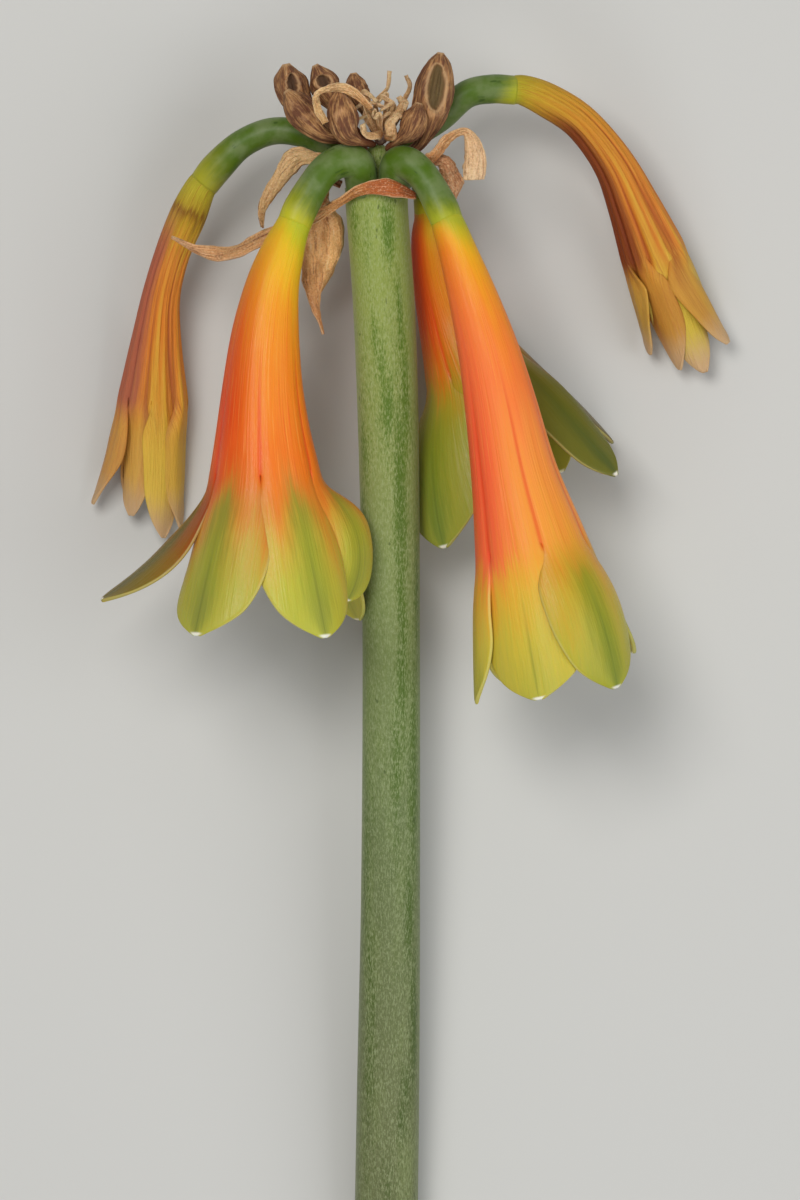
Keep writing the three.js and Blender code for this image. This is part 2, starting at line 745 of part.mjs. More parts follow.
for (const bloom of WILTED) {
  const line = tubeLine(bloom);
  const rim = rimOf(bloom, line);
  const pleat = (t, angle) => {
    const depth = PLEAT_DEPTH * Math.min(1, t * PLEAT_GROWTH);
    return 1 + depth * Math.cos((TUBE_SIDES / 2) * angle);
  };
  addPiece(`${bloom.name}_stalk`, stalkOf(bloom), STALK_GREEN);
  const lobes = bloom.lobes.map((lobe) => lobeBlade(rim, lobe, WILTED_OUTLINE, WILTED_CUP));
  const perianth = joined([tubeOf(bloom, line, WILTED_WALL, pleat), ...lobes]);
  addPiece(`${bloom.name}_perianth`, perianth.subtract(underground), WILTED_GOLD);
}

// Dry pods, three ribbed, some split open down one side

for (const pod of PODS) {
  const ribs = (place) => (angle) => place.size * (1 + POD_RIB_DEPTH * Math.cos(POD_RIBS * angle));
  let solid = rod(pod.route, POD_SIDES, POD_STEPS, ribs);
  if (pod.window) {
    const [x, y, z, wide, high] = pod.window;
    const hollow = new THREE.SphereGeometry(1, 10, 8);
    hollow.scale(wide, high, POD_HOLLOW_DEPTH).translate(x, y, z);
    solid = solid.subtract(solidOfGeometry(hollow));
  }
  addPiece(pod.name, solid, POD_BROWN);
}

// Dry bracts and bractlets

function ribbon(route, rows, curl) {
  const line = lineThrough(route);
  const bend = radians(curl);
  const strip = [];
  for (let i = 0; i <= rows; i += 1) {
    const { at, front, side, size, turn } = line(i / rows);
    const across = side.clone().multiplyScalar(Math.cos(turn));
    across.addScaledVector(front, Math.sin(turn));
    const normal = front.clone().multiplyScalar(Math.cos(turn));
    normal.addScaledVector(side, -Math.sin(turn));
    const round = size / bend;
    const row = [];
    for (let j = 0; j <= BRACT_COLUMNS; j += 1) {
      const swing = ((j / BRACT_COLUMNS) * 2 - 1) * bend;
      const point = at.clone().addScaledVector(across, Math.sin(swing) * round);
      point.addScaledVector(normal, (Math.cos(swing) - 1) * round);
      const facing = normal.clone().multiplyScalar(Math.cos(swing));
      facing.addScaledVector(across, Math.sin(swing));
      row.push({ point, normal: facing });
    }
    strip.push(row);
  }
  return blade(strip, PAPER_THICKNESS);
}

for (const { name, route, curl } of BRACTS) {
  addPiece(name, ribbon(route, BRACT_ROWS, curl), PAPER_TAN);
}

const tuft = rod(TUFT, 6, 3);
const ribbons = BRACTLETS.map((route) => ribbon(route, BRACTLET_ROWS, BRACTLET_CURL));
addPiece('bractlets', joined([tuft, ...ribbons]), PAPER_TAN);

// Origin at the middle of the bottom of the whole

const box = new THREE.Box3().setFromObject(laid, true);
laid.position.x -= (box.min.x + box.max.x) / 2;
laid.position.y -= (box.min.y + box.max.y) / 2;

const lily = new THREE.Group();
lily.add(laid);

export default lily;
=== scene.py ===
import math
import random
from functools import lru_cache
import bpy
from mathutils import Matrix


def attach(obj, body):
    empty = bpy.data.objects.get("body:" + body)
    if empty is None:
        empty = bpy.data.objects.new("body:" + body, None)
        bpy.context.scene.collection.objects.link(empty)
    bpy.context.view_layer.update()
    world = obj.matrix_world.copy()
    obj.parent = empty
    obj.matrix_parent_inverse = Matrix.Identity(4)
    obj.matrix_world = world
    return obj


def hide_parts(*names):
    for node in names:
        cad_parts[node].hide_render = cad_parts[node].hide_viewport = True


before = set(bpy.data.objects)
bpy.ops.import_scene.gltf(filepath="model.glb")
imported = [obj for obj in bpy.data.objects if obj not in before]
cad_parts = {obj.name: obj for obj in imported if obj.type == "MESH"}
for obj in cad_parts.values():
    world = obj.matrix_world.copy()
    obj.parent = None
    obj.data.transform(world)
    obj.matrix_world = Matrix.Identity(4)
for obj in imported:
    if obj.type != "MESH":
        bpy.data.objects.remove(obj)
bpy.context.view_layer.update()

from types import SimpleNamespace

import bmesh
import bpy
import numpy as np
from mathutils import Matrix, Vector, noise

# Stem
# The thick leafless stem, fresh and fleshy, with a pale waxy bloom that has rubbed off in long
# green patches. It is cut plainly at its foot, and a small green crown stands on its top.

# Places are millimetres from the middle of the stem's top, before the stem is laid down.
FRONT = Vector((0, 0, 1))
REST_ON = Vector((-5.6902, 84.0862, 24.2))
HEAD_RISE = math.radians(5.6)
LAID_DOWN = (Matrix.Scale(0.001, 4) @ Matrix.Translation(REST_ON)
             @ Matrix.Rotation(HEAD_RISE, 4, "X"))

STEM = [
    (-0.2, 0, 0, 5.6), (-0.2, -4, 0, 5.4), (0.9, -19.5, 0, 5.4), (1.6, -37, 0, 5.35),
    (2.1, -62, 0, 5.15), (2.3, -85, 0, 5.05), (2.2, -124, 0, 5.2), (1.8, -158, 0, 5.5),
    (1.3, -192, 0, 5.6),
]
CROWN = [
    (0, -0.6, -0.4, 1.2), (0, 2.4, -0.4, 1.35), (0, 5, -0.4, 2.1), (0, 6.6, -0.4, 2),
    (0, 7.6, -0.4, 0.9),
]
# Where the bloom is rubbed off: place along, half length, degrees round, half width, strength
STEM_RUBS = [
    (-6, 8, -50, 14, 0.6), (-8, 7, 19, 14, 0.9), (-13, 7, -27, 12, 0.4), (-20, 8, 32, 9, 1.0),
    (-26, 5, 34, 10, 0.9), (-26, 5, -18, 9, 0.7), (-31, 6, -7, 12, 0.8), (-37, 6, 0, 15, 0.9),
    (-35, 12, 37, 12, 0.9), (-52, 18, 24, 15, 1.0), (-46, 8, -50, 12, 0.6),
    (-60, 9, -58, 12, 0.8), (-78, 20, 22, 12, 0.9), (-70, 12, 62, 14, 0.6),
    (-100, 16, 10, 12, 0.6), (-104, 20, 50, 14, 0.8), (-128, 10, 40, 12, 0.9),
    (-146, 12, 52, 12, 1.0), (-158, 5, 34, 13, 0.8), (-163, 4, 26, 12, 0.8),
    (-150, 20, -40, 16, 0.5), (-120, 18, -56, 14, 0.5), (-176, 8, 0, 18, 0.5),
    (-60, 40, 150, 30, 0.8), (-130, 40, 200, 33, 0.7), (-30, 20, 235, 24, 0.7),
]


def line_through(points):
    """A smooth line through [x, y, z, size, turn] points, as a function of 0 to 1 along it."""
    knots = np.array([(*p, 0)[:5] for p in points], float)
    knots = np.vstack([2 * knots[0] - knots[1], knots, 2 * knots[-1] - knots[-2]])

    def value(t):
        place = min(max(t, 0), 1) * (len(knots) - 3)
        i = min(int(place), len(knots) - 4)
        w = place - i
        a, b, c, d = knots[i:i + 4]
        leave, arrive = (c - a) / 2, (d - b) / 2
        return (b + leave * w + (3 * (c - b) - 2 * leave - arrive) * w ** 2
                + (2 * (b - c) + leave + arrive) * w ** 3)

    @lru_cache(maxsize=None)
    def place(t):
        x, y, z, size, turn = value(t)
        ahead = value(min(t + 0.001, 1)) - value(max(t - 0.001, 0))
        along = Vector(ahead[:3]).normalized()
        front = (FRONT - along * FRONT.dot(along)).normalized()
        return SimpleNamespace(at=Vector((x, y, z)), along=along, front=front,
                               side=front.cross(along), size=size, turn=math.radians(turn))
    return place


def step(low, high, value):
    """0 below low and 1 above high, with a soft step between."""
    share = min(max((value - low) / (high - low), 0), 1)
    return share * share * (3 - 2 * share)


def bell(value, middle, width):
    return math.exp(-((value - middle) / width) ** 2)


def mixed(a, b, share):
    return a + (b - a) * share


def skin(rows, columns, point_at, layers=(), bm=None, material=0):
    """A grid laid over point_at(along, across), which is also its UV map. point_at gives the
    point, then a value for each of the named layers."""
    whole = bm or bmesh.new()
    uv = whole.loops.layers.uv.get("surface") or whole.loops.layers.uv.new("surface")
    for name in layers:
        if name not in whole.verts.layers.float:
            whole.verts.layers.float.new(name)
    values = [whole.verts.layers.float[name] for name in layers]
    made = bmesh.ops.create_grid(whole, x_segments=columns, y_segments=rows, size=0.5)["verts"]
    for face in {face for vert in made for face in vert.link_faces}:
        face.material_index = material
        for loop in face.loops:
            loop[uv].uv = (loop.vert.co.x + 0.5, loop.vert.co.y + 0.5)
    for vert in made:
        point, *rest = point_at(vert.co.y + 0.5, vert.co.x + 0.5)
        vert.co = point
        for layer, value in zip(values, rest):
            vert[layer] = value
    return whole


def round_skin(points, rows, columns, shape=None, layers=(), bm=None, material=0):
    """A closed skin round a line. shape(t, angle, place) gives the share of the line's own size
    there, then the layers' values. The first and last two rows close the flat ends."""
    line = line_through(points)

    def point_at(along, around):
        row = round(along * rows)
        t = min(max((row - 2) / (rows - 4), 0), 1)
        end = {0: 0, 1: 0.9}.get(min(row, rows - row), 1)
        place = line(t)
        angle = around * 2 * math.pi
        share, *rest = shape(t, angle, place) if shape else (1,)
        ray = place.front * math.cos(angle) + place.side * math.sin(angle)
        return (place.at + ray * place.size * share * end, *rest)
    return skin(rows, columns, point_at, layers, bm, material)


def piece(name, bm, materials, nodes, thickness=0, inner=0, core=None, levels=0):
    """The finished piece: laid down, thickened if it is a skin, and put in the CAD nodes' place.
    core is a point within an open skin, which its outside faces away from."""
    bmesh.ops.remove_doubles(bm, verts=bm.verts, dist=0.002)
    bmesh.ops.recalc_face_normals(bm, faces=bm.faces)
    if core:
        near = min(bm.faces, key=lambda face: (face.calc_center_median() - core).length)
        if near.normal.dot(near.calc_center_median() - core) < 0:
            bmesh.ops.reverse_faces(bm, faces=bm.faces)
    bm.transform(LAID_DOWN)
    for vert in bm.verts:
        vert.co.z = max(vert.co.z, thickness * 0.0005 + 0.00005)
    mesh = bpy.data.meshes.new(name)
    bm.to_mesh(mesh)
    bm.free()
    mesh.shade_smooth()
    for material in materials:
        mesh.materials.append(material)
    obj = bpy.data.objects.new(name, mesh)
    bpy.context.scene.collection.objects.link(obj)
    if thickness:
        solid = obj.modifiers.new("thickness", "SOLIDIFY")
        solid.thickness = thickness * 0.001
        solid.offset = 0
        solid.material_offset = inner
    if levels:
        finer = obj.modifiers.new("finer", "SUBSURF")
        finer.levels = finer.render_levels = levels
    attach(obj, "root")
    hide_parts(*nodes)
    return obj


def tone(code):
    """A colour as a screen shows it, such as 'e0c040', as the linear colour that shaders take."""
    shown = [int(code[i:i + 2], 16) / 255 for i in (0, 2, 4)]
    return (*(c / 12.92 if c <= 0.04045 else ((c + 0.055) / 1.055) ** 2.4 for c in shown), 1)


class Shader:
    """A material under construction: each call adds one node and gives back its output."""

    def __init__(self, name):
        self.material = bpy.data.materials.new(name)
        self.material.use_nodes = True
        self.tree = self.material.node_tree
        self.surface = self.tree.nodes["Principled BSDF"]

    def put(self, socket, value):
        if isinstance(value, bpy.types.NodeSocket):
            self.tree.links.new(value, socket)
        else:
            socket.default_value = value

    def node(self, kind, inputs=None, output=0, **settings):
        node = self.tree.nodes.new("ShaderNode" + kind)
        for key, value in settings.items():
            setattr(node, key, value)
        for key, value in (inputs or {}).items():
            self.put(node.inputs[key], value)
        return node.outputs[output]

    def math(self, operation, a, b=0.0):
        return self.node("Math", {0: a, 1: b}, operation=operation)

    def times(self, a, b):
        return self.math("MULTIPLY", a, b)

    def plus(self, a, b):
        return self.math("ADD", a, b)

    def minus(self, a, b):
        return self.math("SUBTRACT", a, b)

    def span(self, value, low, high, to_low=0.0, to_high=1.0):
        """The value's place between low and high, softly stepped, as to_low to to_high."""
        return self.node("MapRange", {0: value, 1: low, 2: high, 3: to_low, 4: to_high},
                         interpolation_type="SMOOTHSTEP")

    def mix(self, share, a, b, blend="MIX"):
        return self.node("Mix", {0: share, 6: a, 7: b}, output=2, data_type="RGBA",
                         blend_type=blend)

    def ramp(self, value, stops):
        out = self.node("ValToRGB", {0: value})
        points = out.node.color_ramp.elements
        while len(points) < len(stops):
            points.new(0.5)
        for point, (place, colour) in zip(points, stops):
            point.position = place
            point.color = tone(colour)
        return out

    def noise(self, vector, scale, detail=3.0, rough=0.55):
        return self.node("TexNoise", {"Vector": vector, "Scale": scale, "Detail": detail,
                                      "Roughness": rough})

    def vector(self, x, y, z=0.0):
        return self.node("CombineXYZ", {0: x, 1: y, 2: z})

    def stretched(self, x, y, z):
        """Object coordinates scaled by these, so that a pattern runs long where one is small."""
        place = self.node("TexCoord", output=3)
        return self.node("VectorMath", {0: place, 1: (x, y, z)}, operation="MULTIPLY")

    def named(self, layer):
        return self.node("Attribute", output=2, attribute_name=layer)

    def uv(self):
        """Across and along, each as a value."""
        across = self.node("SeparateXYZ", {0: self.node("UVMap", uv_map="surface")})
        return across, across.node.outputs[1]

    def bump(self, height, distance, strength=1.0):
        return self.node("Bump", {"Height": height, "Distance": distance, "Strength": strength})

    def done(self, **values):
        for name, value in values.items():
            self.put(self.surface.inputs[name.replace("_", " ")], value)
        return self.material


def stem_shape(t, angle, place):
    rub = 0
    for y, long, turn, wide, strength in STEM_RUBS:
        off = (math.degrees(angle) - turn + 180) % 360 - 180
        rub = max(rub, strength * bell(place.at.y, y, long) * bell(off, 0, wide))
    return 1 + 0.012 * math.cos(3 * angle + t * 5) + 0.006 * math.cos(7 * angle), rub


s = Shader("stem, waxy bloom")
rub = s.named("rub")
fine = s.noise(s.stretched(1, 0.24, 1), 4400, 3, 0.7)
streak = s.noise(s.stretched(1, 0.05, 1), 1100, 3, 0.6)
patch = s.noise(s.stretched(1, 0.2, 1), 190, 4, 0.6)
grain = s.noise(s.stretched(1, 0.6, 1), 4200, 2, 0.6)
bare = s.plus(s.times(rub, 0.5), s.times(patch, 0.8))
bare = s.plus(bare, s.times(fine, 1.6))
bare = s.plus(bare, s.times(streak, 0.4))
bare = s.span(bare, 1.4, 2.02)
lower = s.span(s.node("SeparateXYZ", {0: s.stretched(1, 1, 1)}, 1), 0.09, -0.1)
waxy = s.ramp(lower, [(0, "8f9e4c"), (0.3, "808e54"), (0.65, "68764a"), (1, "686e48")])
waxy = s.mix(s.span(patch, 0.4, 0.7, 0, 0.3), waxy, tone("96a468"))
waxy = s.mix(s.span(grain, 0.5, 0.72, 0, 0.35), waxy, tone("9aa57c"))
green = s.mix(streak, tone("3e6210"), tone("5e7e1c"))
green = s.mix(lower, green, tone("40541e"))
waxy = s.mix(s.span(fine, 0.5, 0.38, 0, 0.35), waxy, tone("a8b488"))
colour = s.mix(s.times(bare, 0.92), waxy, green)
fleck = s.span(s.noise(s.stretched(1, 0.5, 1), 620, 2, 0.5), 0.72, 0.76)
colour = s.mix(s.times(fleck, 0.6), colour, tone("3c4f22"))
relief = s.minus(s.times(grain, 0.3), s.times(fine, 0.7))
stem_green = s.done(
    Base_Color=colour, Roughness=s.span(bare, 0, 1, 0.6, 0.45), Specular_IOR_Level=0.2,
    Sheen_Weight=0.16, Sheen_Roughness=0.3, Subsurface_Weight=0.1, Subsurface_Scale=0.0015,
    Subsurface_Radius=(0.6, 1.0, 0.3), Normal=s.bump(relief, 0.00014, 0.7))

bm = round_skin(STEM, 200, 72, stem_shape, ["rub"])
round_skin(CROWN, 16, 24, bm=bm)
piece("stem_flesh", bm, [stem_green], ["stem"])

# Stalks
# Five fleshy green stalks that spring from the stem's top, bend over and end in the ovary. They
# carry a thin grey bloom, rubbed to dark green on the bends, and turn yellow towards the bloom.

FRONT_LEFT_STALK = [
    (-2.9, -1, 2.7, 2.6), (-3.0, 2.2, 3.4, 2.85), (-3.8, 4.5, 4.5, 3.0), (-6.3, 4.9, 5.5, 2.9),
    (-8.9, 3.5, 6.5, 2.75), (-10.9, 1.1, 7.4, 2.75), (-13.3, -3.0, 8.4, 3.0),
    (-14.5, -5.8, 9.0, 2.95),
]
FRONT_RIGHT_STALK = [
    (2.9, -1, 2.7, 2.6), (3.0, 2.2, 3.5, 2.85), (3.6, 4.4, 4.6, 3.0), (5.4, 4.4, 6.0, 2.9),
    (7.4, 2.9, 7.1, 2.75), (9.1, 0.6, 7.9, 2.7), (11.0, -3.0, 8.9, 2.9), (11.9, -5.3, 9.4, 2.8),
]
BACK_RIGHT_STALK = [
    (3.3, -1, -1.8, 1.6), (4.9, 2.0, -2.9, 1.9), (7.2, 2.2, -4.4, 2.2), (8.5, -0.6, -5.6, 2.5),
    (8.9, -4.2, -6.4, 2.6),
]
WILTED_LEFT_STALK = [
    (-3.4, -1, -1.8, 1.65), (-4.8, 3.6, -3.1, 1.9), (-8.6, 7.2, -4.4, 2.2),
    (-13.6, 9.4, -5.2, 2.35), (-18.8, 9.7, -5.8, 2.4), (-24.0, 7.4, -6.4, 2.5),
    (-28.2, 3.4, -7.0, 2.8), (-30.4, 0.6, -7.5, 2.7),
]
WILTED_RIGHT_STALK = [
    (0.3, -1, -3.7, 1.5), (2.4, 4.6, -5.0, 1.8), (6.6, 9.0, -5.8, 2.2), (11.0, 12.2, -6.2, 2.4),
    (15.4, 16.1, -6.6, 2.45), (19.8, 17.1, -7.2, 2.55), (24.0, 16.9, -7.8, 2.55),
]


def stalk_material(name, join, late, seed):
    """join is the colour of the bloom's base, which the ovary turns into from late to its end."""
    s = Shader(name)
    across, along = s.uv()
    cloud = s.noise(s.stretched(1, 1, 1), 260 + seed, 3, 0.5)
    streak = s.noise(s.vector(s.times(across, 26), s.times(along, 5), seed), 1, 3, 0.6)
    colour = s.mix(s.span(cloud, 0.35, 0.65), tone("4e6a18"), tone("6c7e4a"))
    colour = s.mix(s.span(streak, 0.5, 0.85, 0, 0.3), colour, tone("46661a"))
    scuff = s.times(s.span(s.noise(s.stretched(1, 1, 1), 330 + seed, 2, 0.5), 0.6, 0.66),
                    s.span(streak, 0.5, 0.62))
    colour = s.mix(s.times(scuff, 0.7), colour, tone("2f4a17"))
    turn = s.plus(along, s.times(s.minus(streak, 0.5), 0.12))
    side = s.math("SINE", s.times(across, 2 * math.pi))
    turn = s.minus(turn, s.times(side, 0.05))
    colour = s.mix(s.span(turn, late, 0.99), colour, tone(join))
    return s.done(Base_Color=colour, Roughness=0.42, Specular_IOR_Level=0.22, Sheen_Weight=0.1,
                  Sheen_Roughness=0.35, Sheen_Tint=tone("c8d4cc"), Subsurface_Weight=0.15,
                  Subsurface_Scale=0.0015, Subsurface_Radius=(0.6, 1.0, 0.3),
                  Normal=s.bump(streak, 0.00006, 0.5))


def stalk(name, points, join, late, seed):
    def shape(t, angle, place):
        swell = 0.015 * math.cos(3 * angle + seed) * step(0.6, 1, t)
        return (1 + swell,)
    bm = round_skin(points, 64, 32, shape)
    piece(name + "_ovary", bm, [stalk_material(name + ", green", join, late, seed)],
          [name + "_stalk"])


stalk("front_left", FRONT_LEFT_STALK, "bcb826", 0.72, 1)
stalk("front_right", FRONT_RIGHT_STALK, "a8ac2a", 0.74, 2)
stalk("back_right", BACK_RIGHT_STALK, "a89e20", 0.7, 3)
stalk("wilted_left", WILTED_LEFT_STALK, "a29e26", 0.72, 4)
stalk("wilted_right", WILTED_RIGHT_STALK, "a6a626", 0.82, 5)

# Open blooms
# Each bloom is a fleshy, waxy tube of six grown-together petals, which part into overlapping
# lobes past the throat. It turns from yellow through orange and red to green lobes, each with a
# green midrib and a small white nib. It hangs from the ovary.

# Millimetres past the ovary's end, and the tube's share of the ovary's radius there
TUBE_STARTS = [(-0.4, 0.862), (1.6, 0.94)]
OPEN_THICK = 0.7
# Radius of a lobe's hollow at its tip
OPEN_CUP = 13
BACK_RIGHT_CUP = 20
TUBE_ROWS = LOBE_ROWS = 28
PETAL_COLUMNS = 14
LOBE_OUTLINE = [(0, 0.7), (0.2, 0.9), (0.4, 1), (0.6, 1), (0.8, 0.8), (0.91, 0.5),
                (0.975, 0.2), (1, 0.05)]
FRONT_LEFT_TUBE = [
    (-16.4, -10.4, 9.9, 3.4), (-18.2, -16.4, 10.9, 4.3), (-19.4, -24.5, 11.8, 5.5),
    (-19.9, -33.5, 12.4, 6.6), (-19.85, -41.5, 12.65, 7.85), (-19.6, -48.2, 12.75, 9.2),
]
# Lobes: degrees round the tube, length, width, lean off the tube's line at root and at tip, how far
# it lies over (1) or under (-1) its neighbours, and the degrees it twists about its own line
FRONT_LEFT_LOBES = [
    (-40, 29, 21, 24, 20, 0.2, 0), (33, 29.5, 19.5, 18, 15, 1, 0), (88, 26, 17, 66, -38, -1, -34),
    (131, 30, 15, 19, 27, -0.4, 0), (196, 23, 15, 14, 20, 1, 0), (274, 30, 11, 32, 61, -1, 14),
]
FRONT_RIGHT_TUBE = [
    (13.9, -10.8, 10.3, 3.0), (16.4, -18.3, 11.3, 3.9), (19.0, -27.2, 12.0, 4.9),
    (21.2, -36.8, 12.4, 5.9), (23.6, -49.0, 12.5, 7.2), (26.2, -60.2, 12.3, 9.3),
]
FRONT_RIGHT_LOBES = [
    (-82, 26.5, 13, 15, 11, 1, 0), (-19, 26.5, 21, 12, 9, -1, 0), (42, 28, 18.5, 24, -8, 1, 0),
    (104, 24.5, 13, 16, 8, -1, 0), (160, 26, 15, 12, 14, 1, 0), (218, 26, 15, 13, 12, -1, 0),
]
BACK_RIGHT_TUBE = [
    (9.2, -9.5, -7.8, 3.1), (10.5, -16.5, -9.4, 4.1), (12.9, -23.7, -10.6, 5.8),
    (15.9, -30.3, -11.0, 8.2),
]
BACK_RIGHT_LOBES = [
    (-54, 30.5, 19.5, 42, 12, 1, 16), (-4, 27, 15, 10, 6, -1, 0), (50, 30.5, 12, 26, 19, 1, 0),
    (100, 26.5, 14, 28, 15, -1, 0), (154, 28, 14, 14, 9, 1, 0), (238, 26, 14, 14, 14, -1, 0),
]


def tube_line(stalk_points, tube):
    """The tube goes on in the ovary's own line, flush with it, from just inside its end."""
    before, end = (Vector(p[:3]) for p in stalk_points[-2:])
    onward = (end - before).normalized()
    size = stalk_points[-1][3]
    starts = [(*(end + onward * past), size * share) for past, share in TUBE_STARTS]
    return line_through([*starts, *tube])


def outline_at(outline, share):
    """The smooth line through an outline's (share, width) points."""
    places = [p for p, _ in outline]
    i = min(max(np.searchsorted(places, share, side="right") - 1, 0), len(outline) - 2)
    (a, low), (b, high) = outline[i], outline[i + 1]
    before = outline[max(i - 1, 0)]
    after = outline[min(i + 2, len(outline) - 1)]
    w = (share - a) / (b - a)
    leave = (high - before[1]) / (b - before[0]) * (b - a)
    arrive = (after[1] - low) / (after[0] - a) * (b - a)
    return (low + leave * w + (3 * (high - low) - 2 * leave - arrive) * w ** 2
            + (2 * (low - high) + leave + arrive) * w ** 3)


def petals(line, lobes, outline, cup, rib, lift, wave, deep=1, parting=0.25, keep=0.16, seed=0):
    """The whole bloom: six petals side by side down the tube, each running on into its lobe.
    parting is the share of the lobe over which it leaves the tube's round, and keep the share over
    which the tube's own ribs fade."""
    rng = random.Random(seed)
    rim = line(1.0)
    before = line(1 - 1 / 7)
    flare = math.atan2(rim.size - before.size, (rim.at - before.at).length)
    ring = sorted(lobes, key=lambda lobe: lobe[0] % 360)
    turns = [lobe[0] % 360 for lobe in ring]
    bm = bmesh.new()
    for k, (_, length, width, lean, tip, over, twist) in enumerate(ring):
        turn = turns[k]
        left = -((turn - turns[k - 1]) % 360) / 2
        right = ((turns[(k + 1) % len(ring)] - turn) % 360) / 2
        angle = math.radians(turn)
        outward = rim.front * math.cos(angle) * deep + rim.side * math.sin(angle)
        reach = outward.length
        outward.normalize()
        across = outward.cross(rim.along).normalized()
        spine = rim.at + outward * rim.size * reach
        spines = []
        for i in range(LOBE_ROWS + 1):
            share = i / LOBE_ROWS
            slope = mixed(flare, math.radians(mixed(lean, tip, share)), step(0, 0.2, share))
            spines.append((spine.copy(), slope))
            spine += (outward * math.sin(slope) + rim.along * math.cos(slope)) * length / LOBE_ROWS
        phase = rng.uniform(0, 6)
        petal = k / len(ring)

        def point_at(along, u):
            row = round(along * (TUBE_ROWS + LOBE_ROWS))
            here = mixed(left, right, u)
            if row <= TUBE_ROWS:
                t = row / TUBE_ROWS
                place = line(t)
                a = math.radians(turn + here)
                size = place.size * rib(t, a, u)
                ray = place.front * math.cos(a) * mixed(1, deep, t) + place.side * math.sin(a)
                return (place.at + ray * size, math.sin(a), math.cos(a), petal,
                        size / place.size - 1)
            share = (row - TUBE_ROWS) / LOBE_ROWS
            at, slope = spines[row - TUBE_ROWS]
            free = step(0, parting, share)
            curve = mixed(rim.size, cup, share)
            swing = (u * 2 - 1) * width / 2 * outline_at(outline, share) / curve
            tilt = slope * free
            normal = outward * math.cos(tilt) - rim.along * math.sin(tilt)
            a = math.radians(turn + here)
            fold = rib(1, a, u)
            ring = rim.front * math.cos(a) * deep + rim.side * math.sin(a)
            ring = rim.at + ring * rim.size * fold + at - spines[0][0]
            grown = mixed(fold, 1, step(0, keep, share))
            edge = abs(u * 2 - 1)
            off = lift * over * step(0, 0.45, share)
            roll = math.radians(twist) * step(0, 0.5, share)
            off += wave * free * edge ** 3 * math.sin(share * 9 + phase + 2 * u)
            off -= 0.28 * free * bell(u, 0.5, 0.07) * (1 - share)
            point = at + across * (math.sin(swing + roll) - math.sin(roll)) * curve * grown
            point += normal * ((math.cos(swing + roll) - math.cos(roll)) * curve + off
                               + rim.size * (grown - 1))
            a = math.radians(turn) + mixed(math.radians(here), swing, free)
            return ring.lerp(point, free), math.sin(a), math.cos(a), petal, fold - 1
        skin(TUBE_ROWS + LOBE_ROWS, PETAL_COLUMNS, point_at, ["side", "front", "petal", "fold"],
             bm)
    return bm


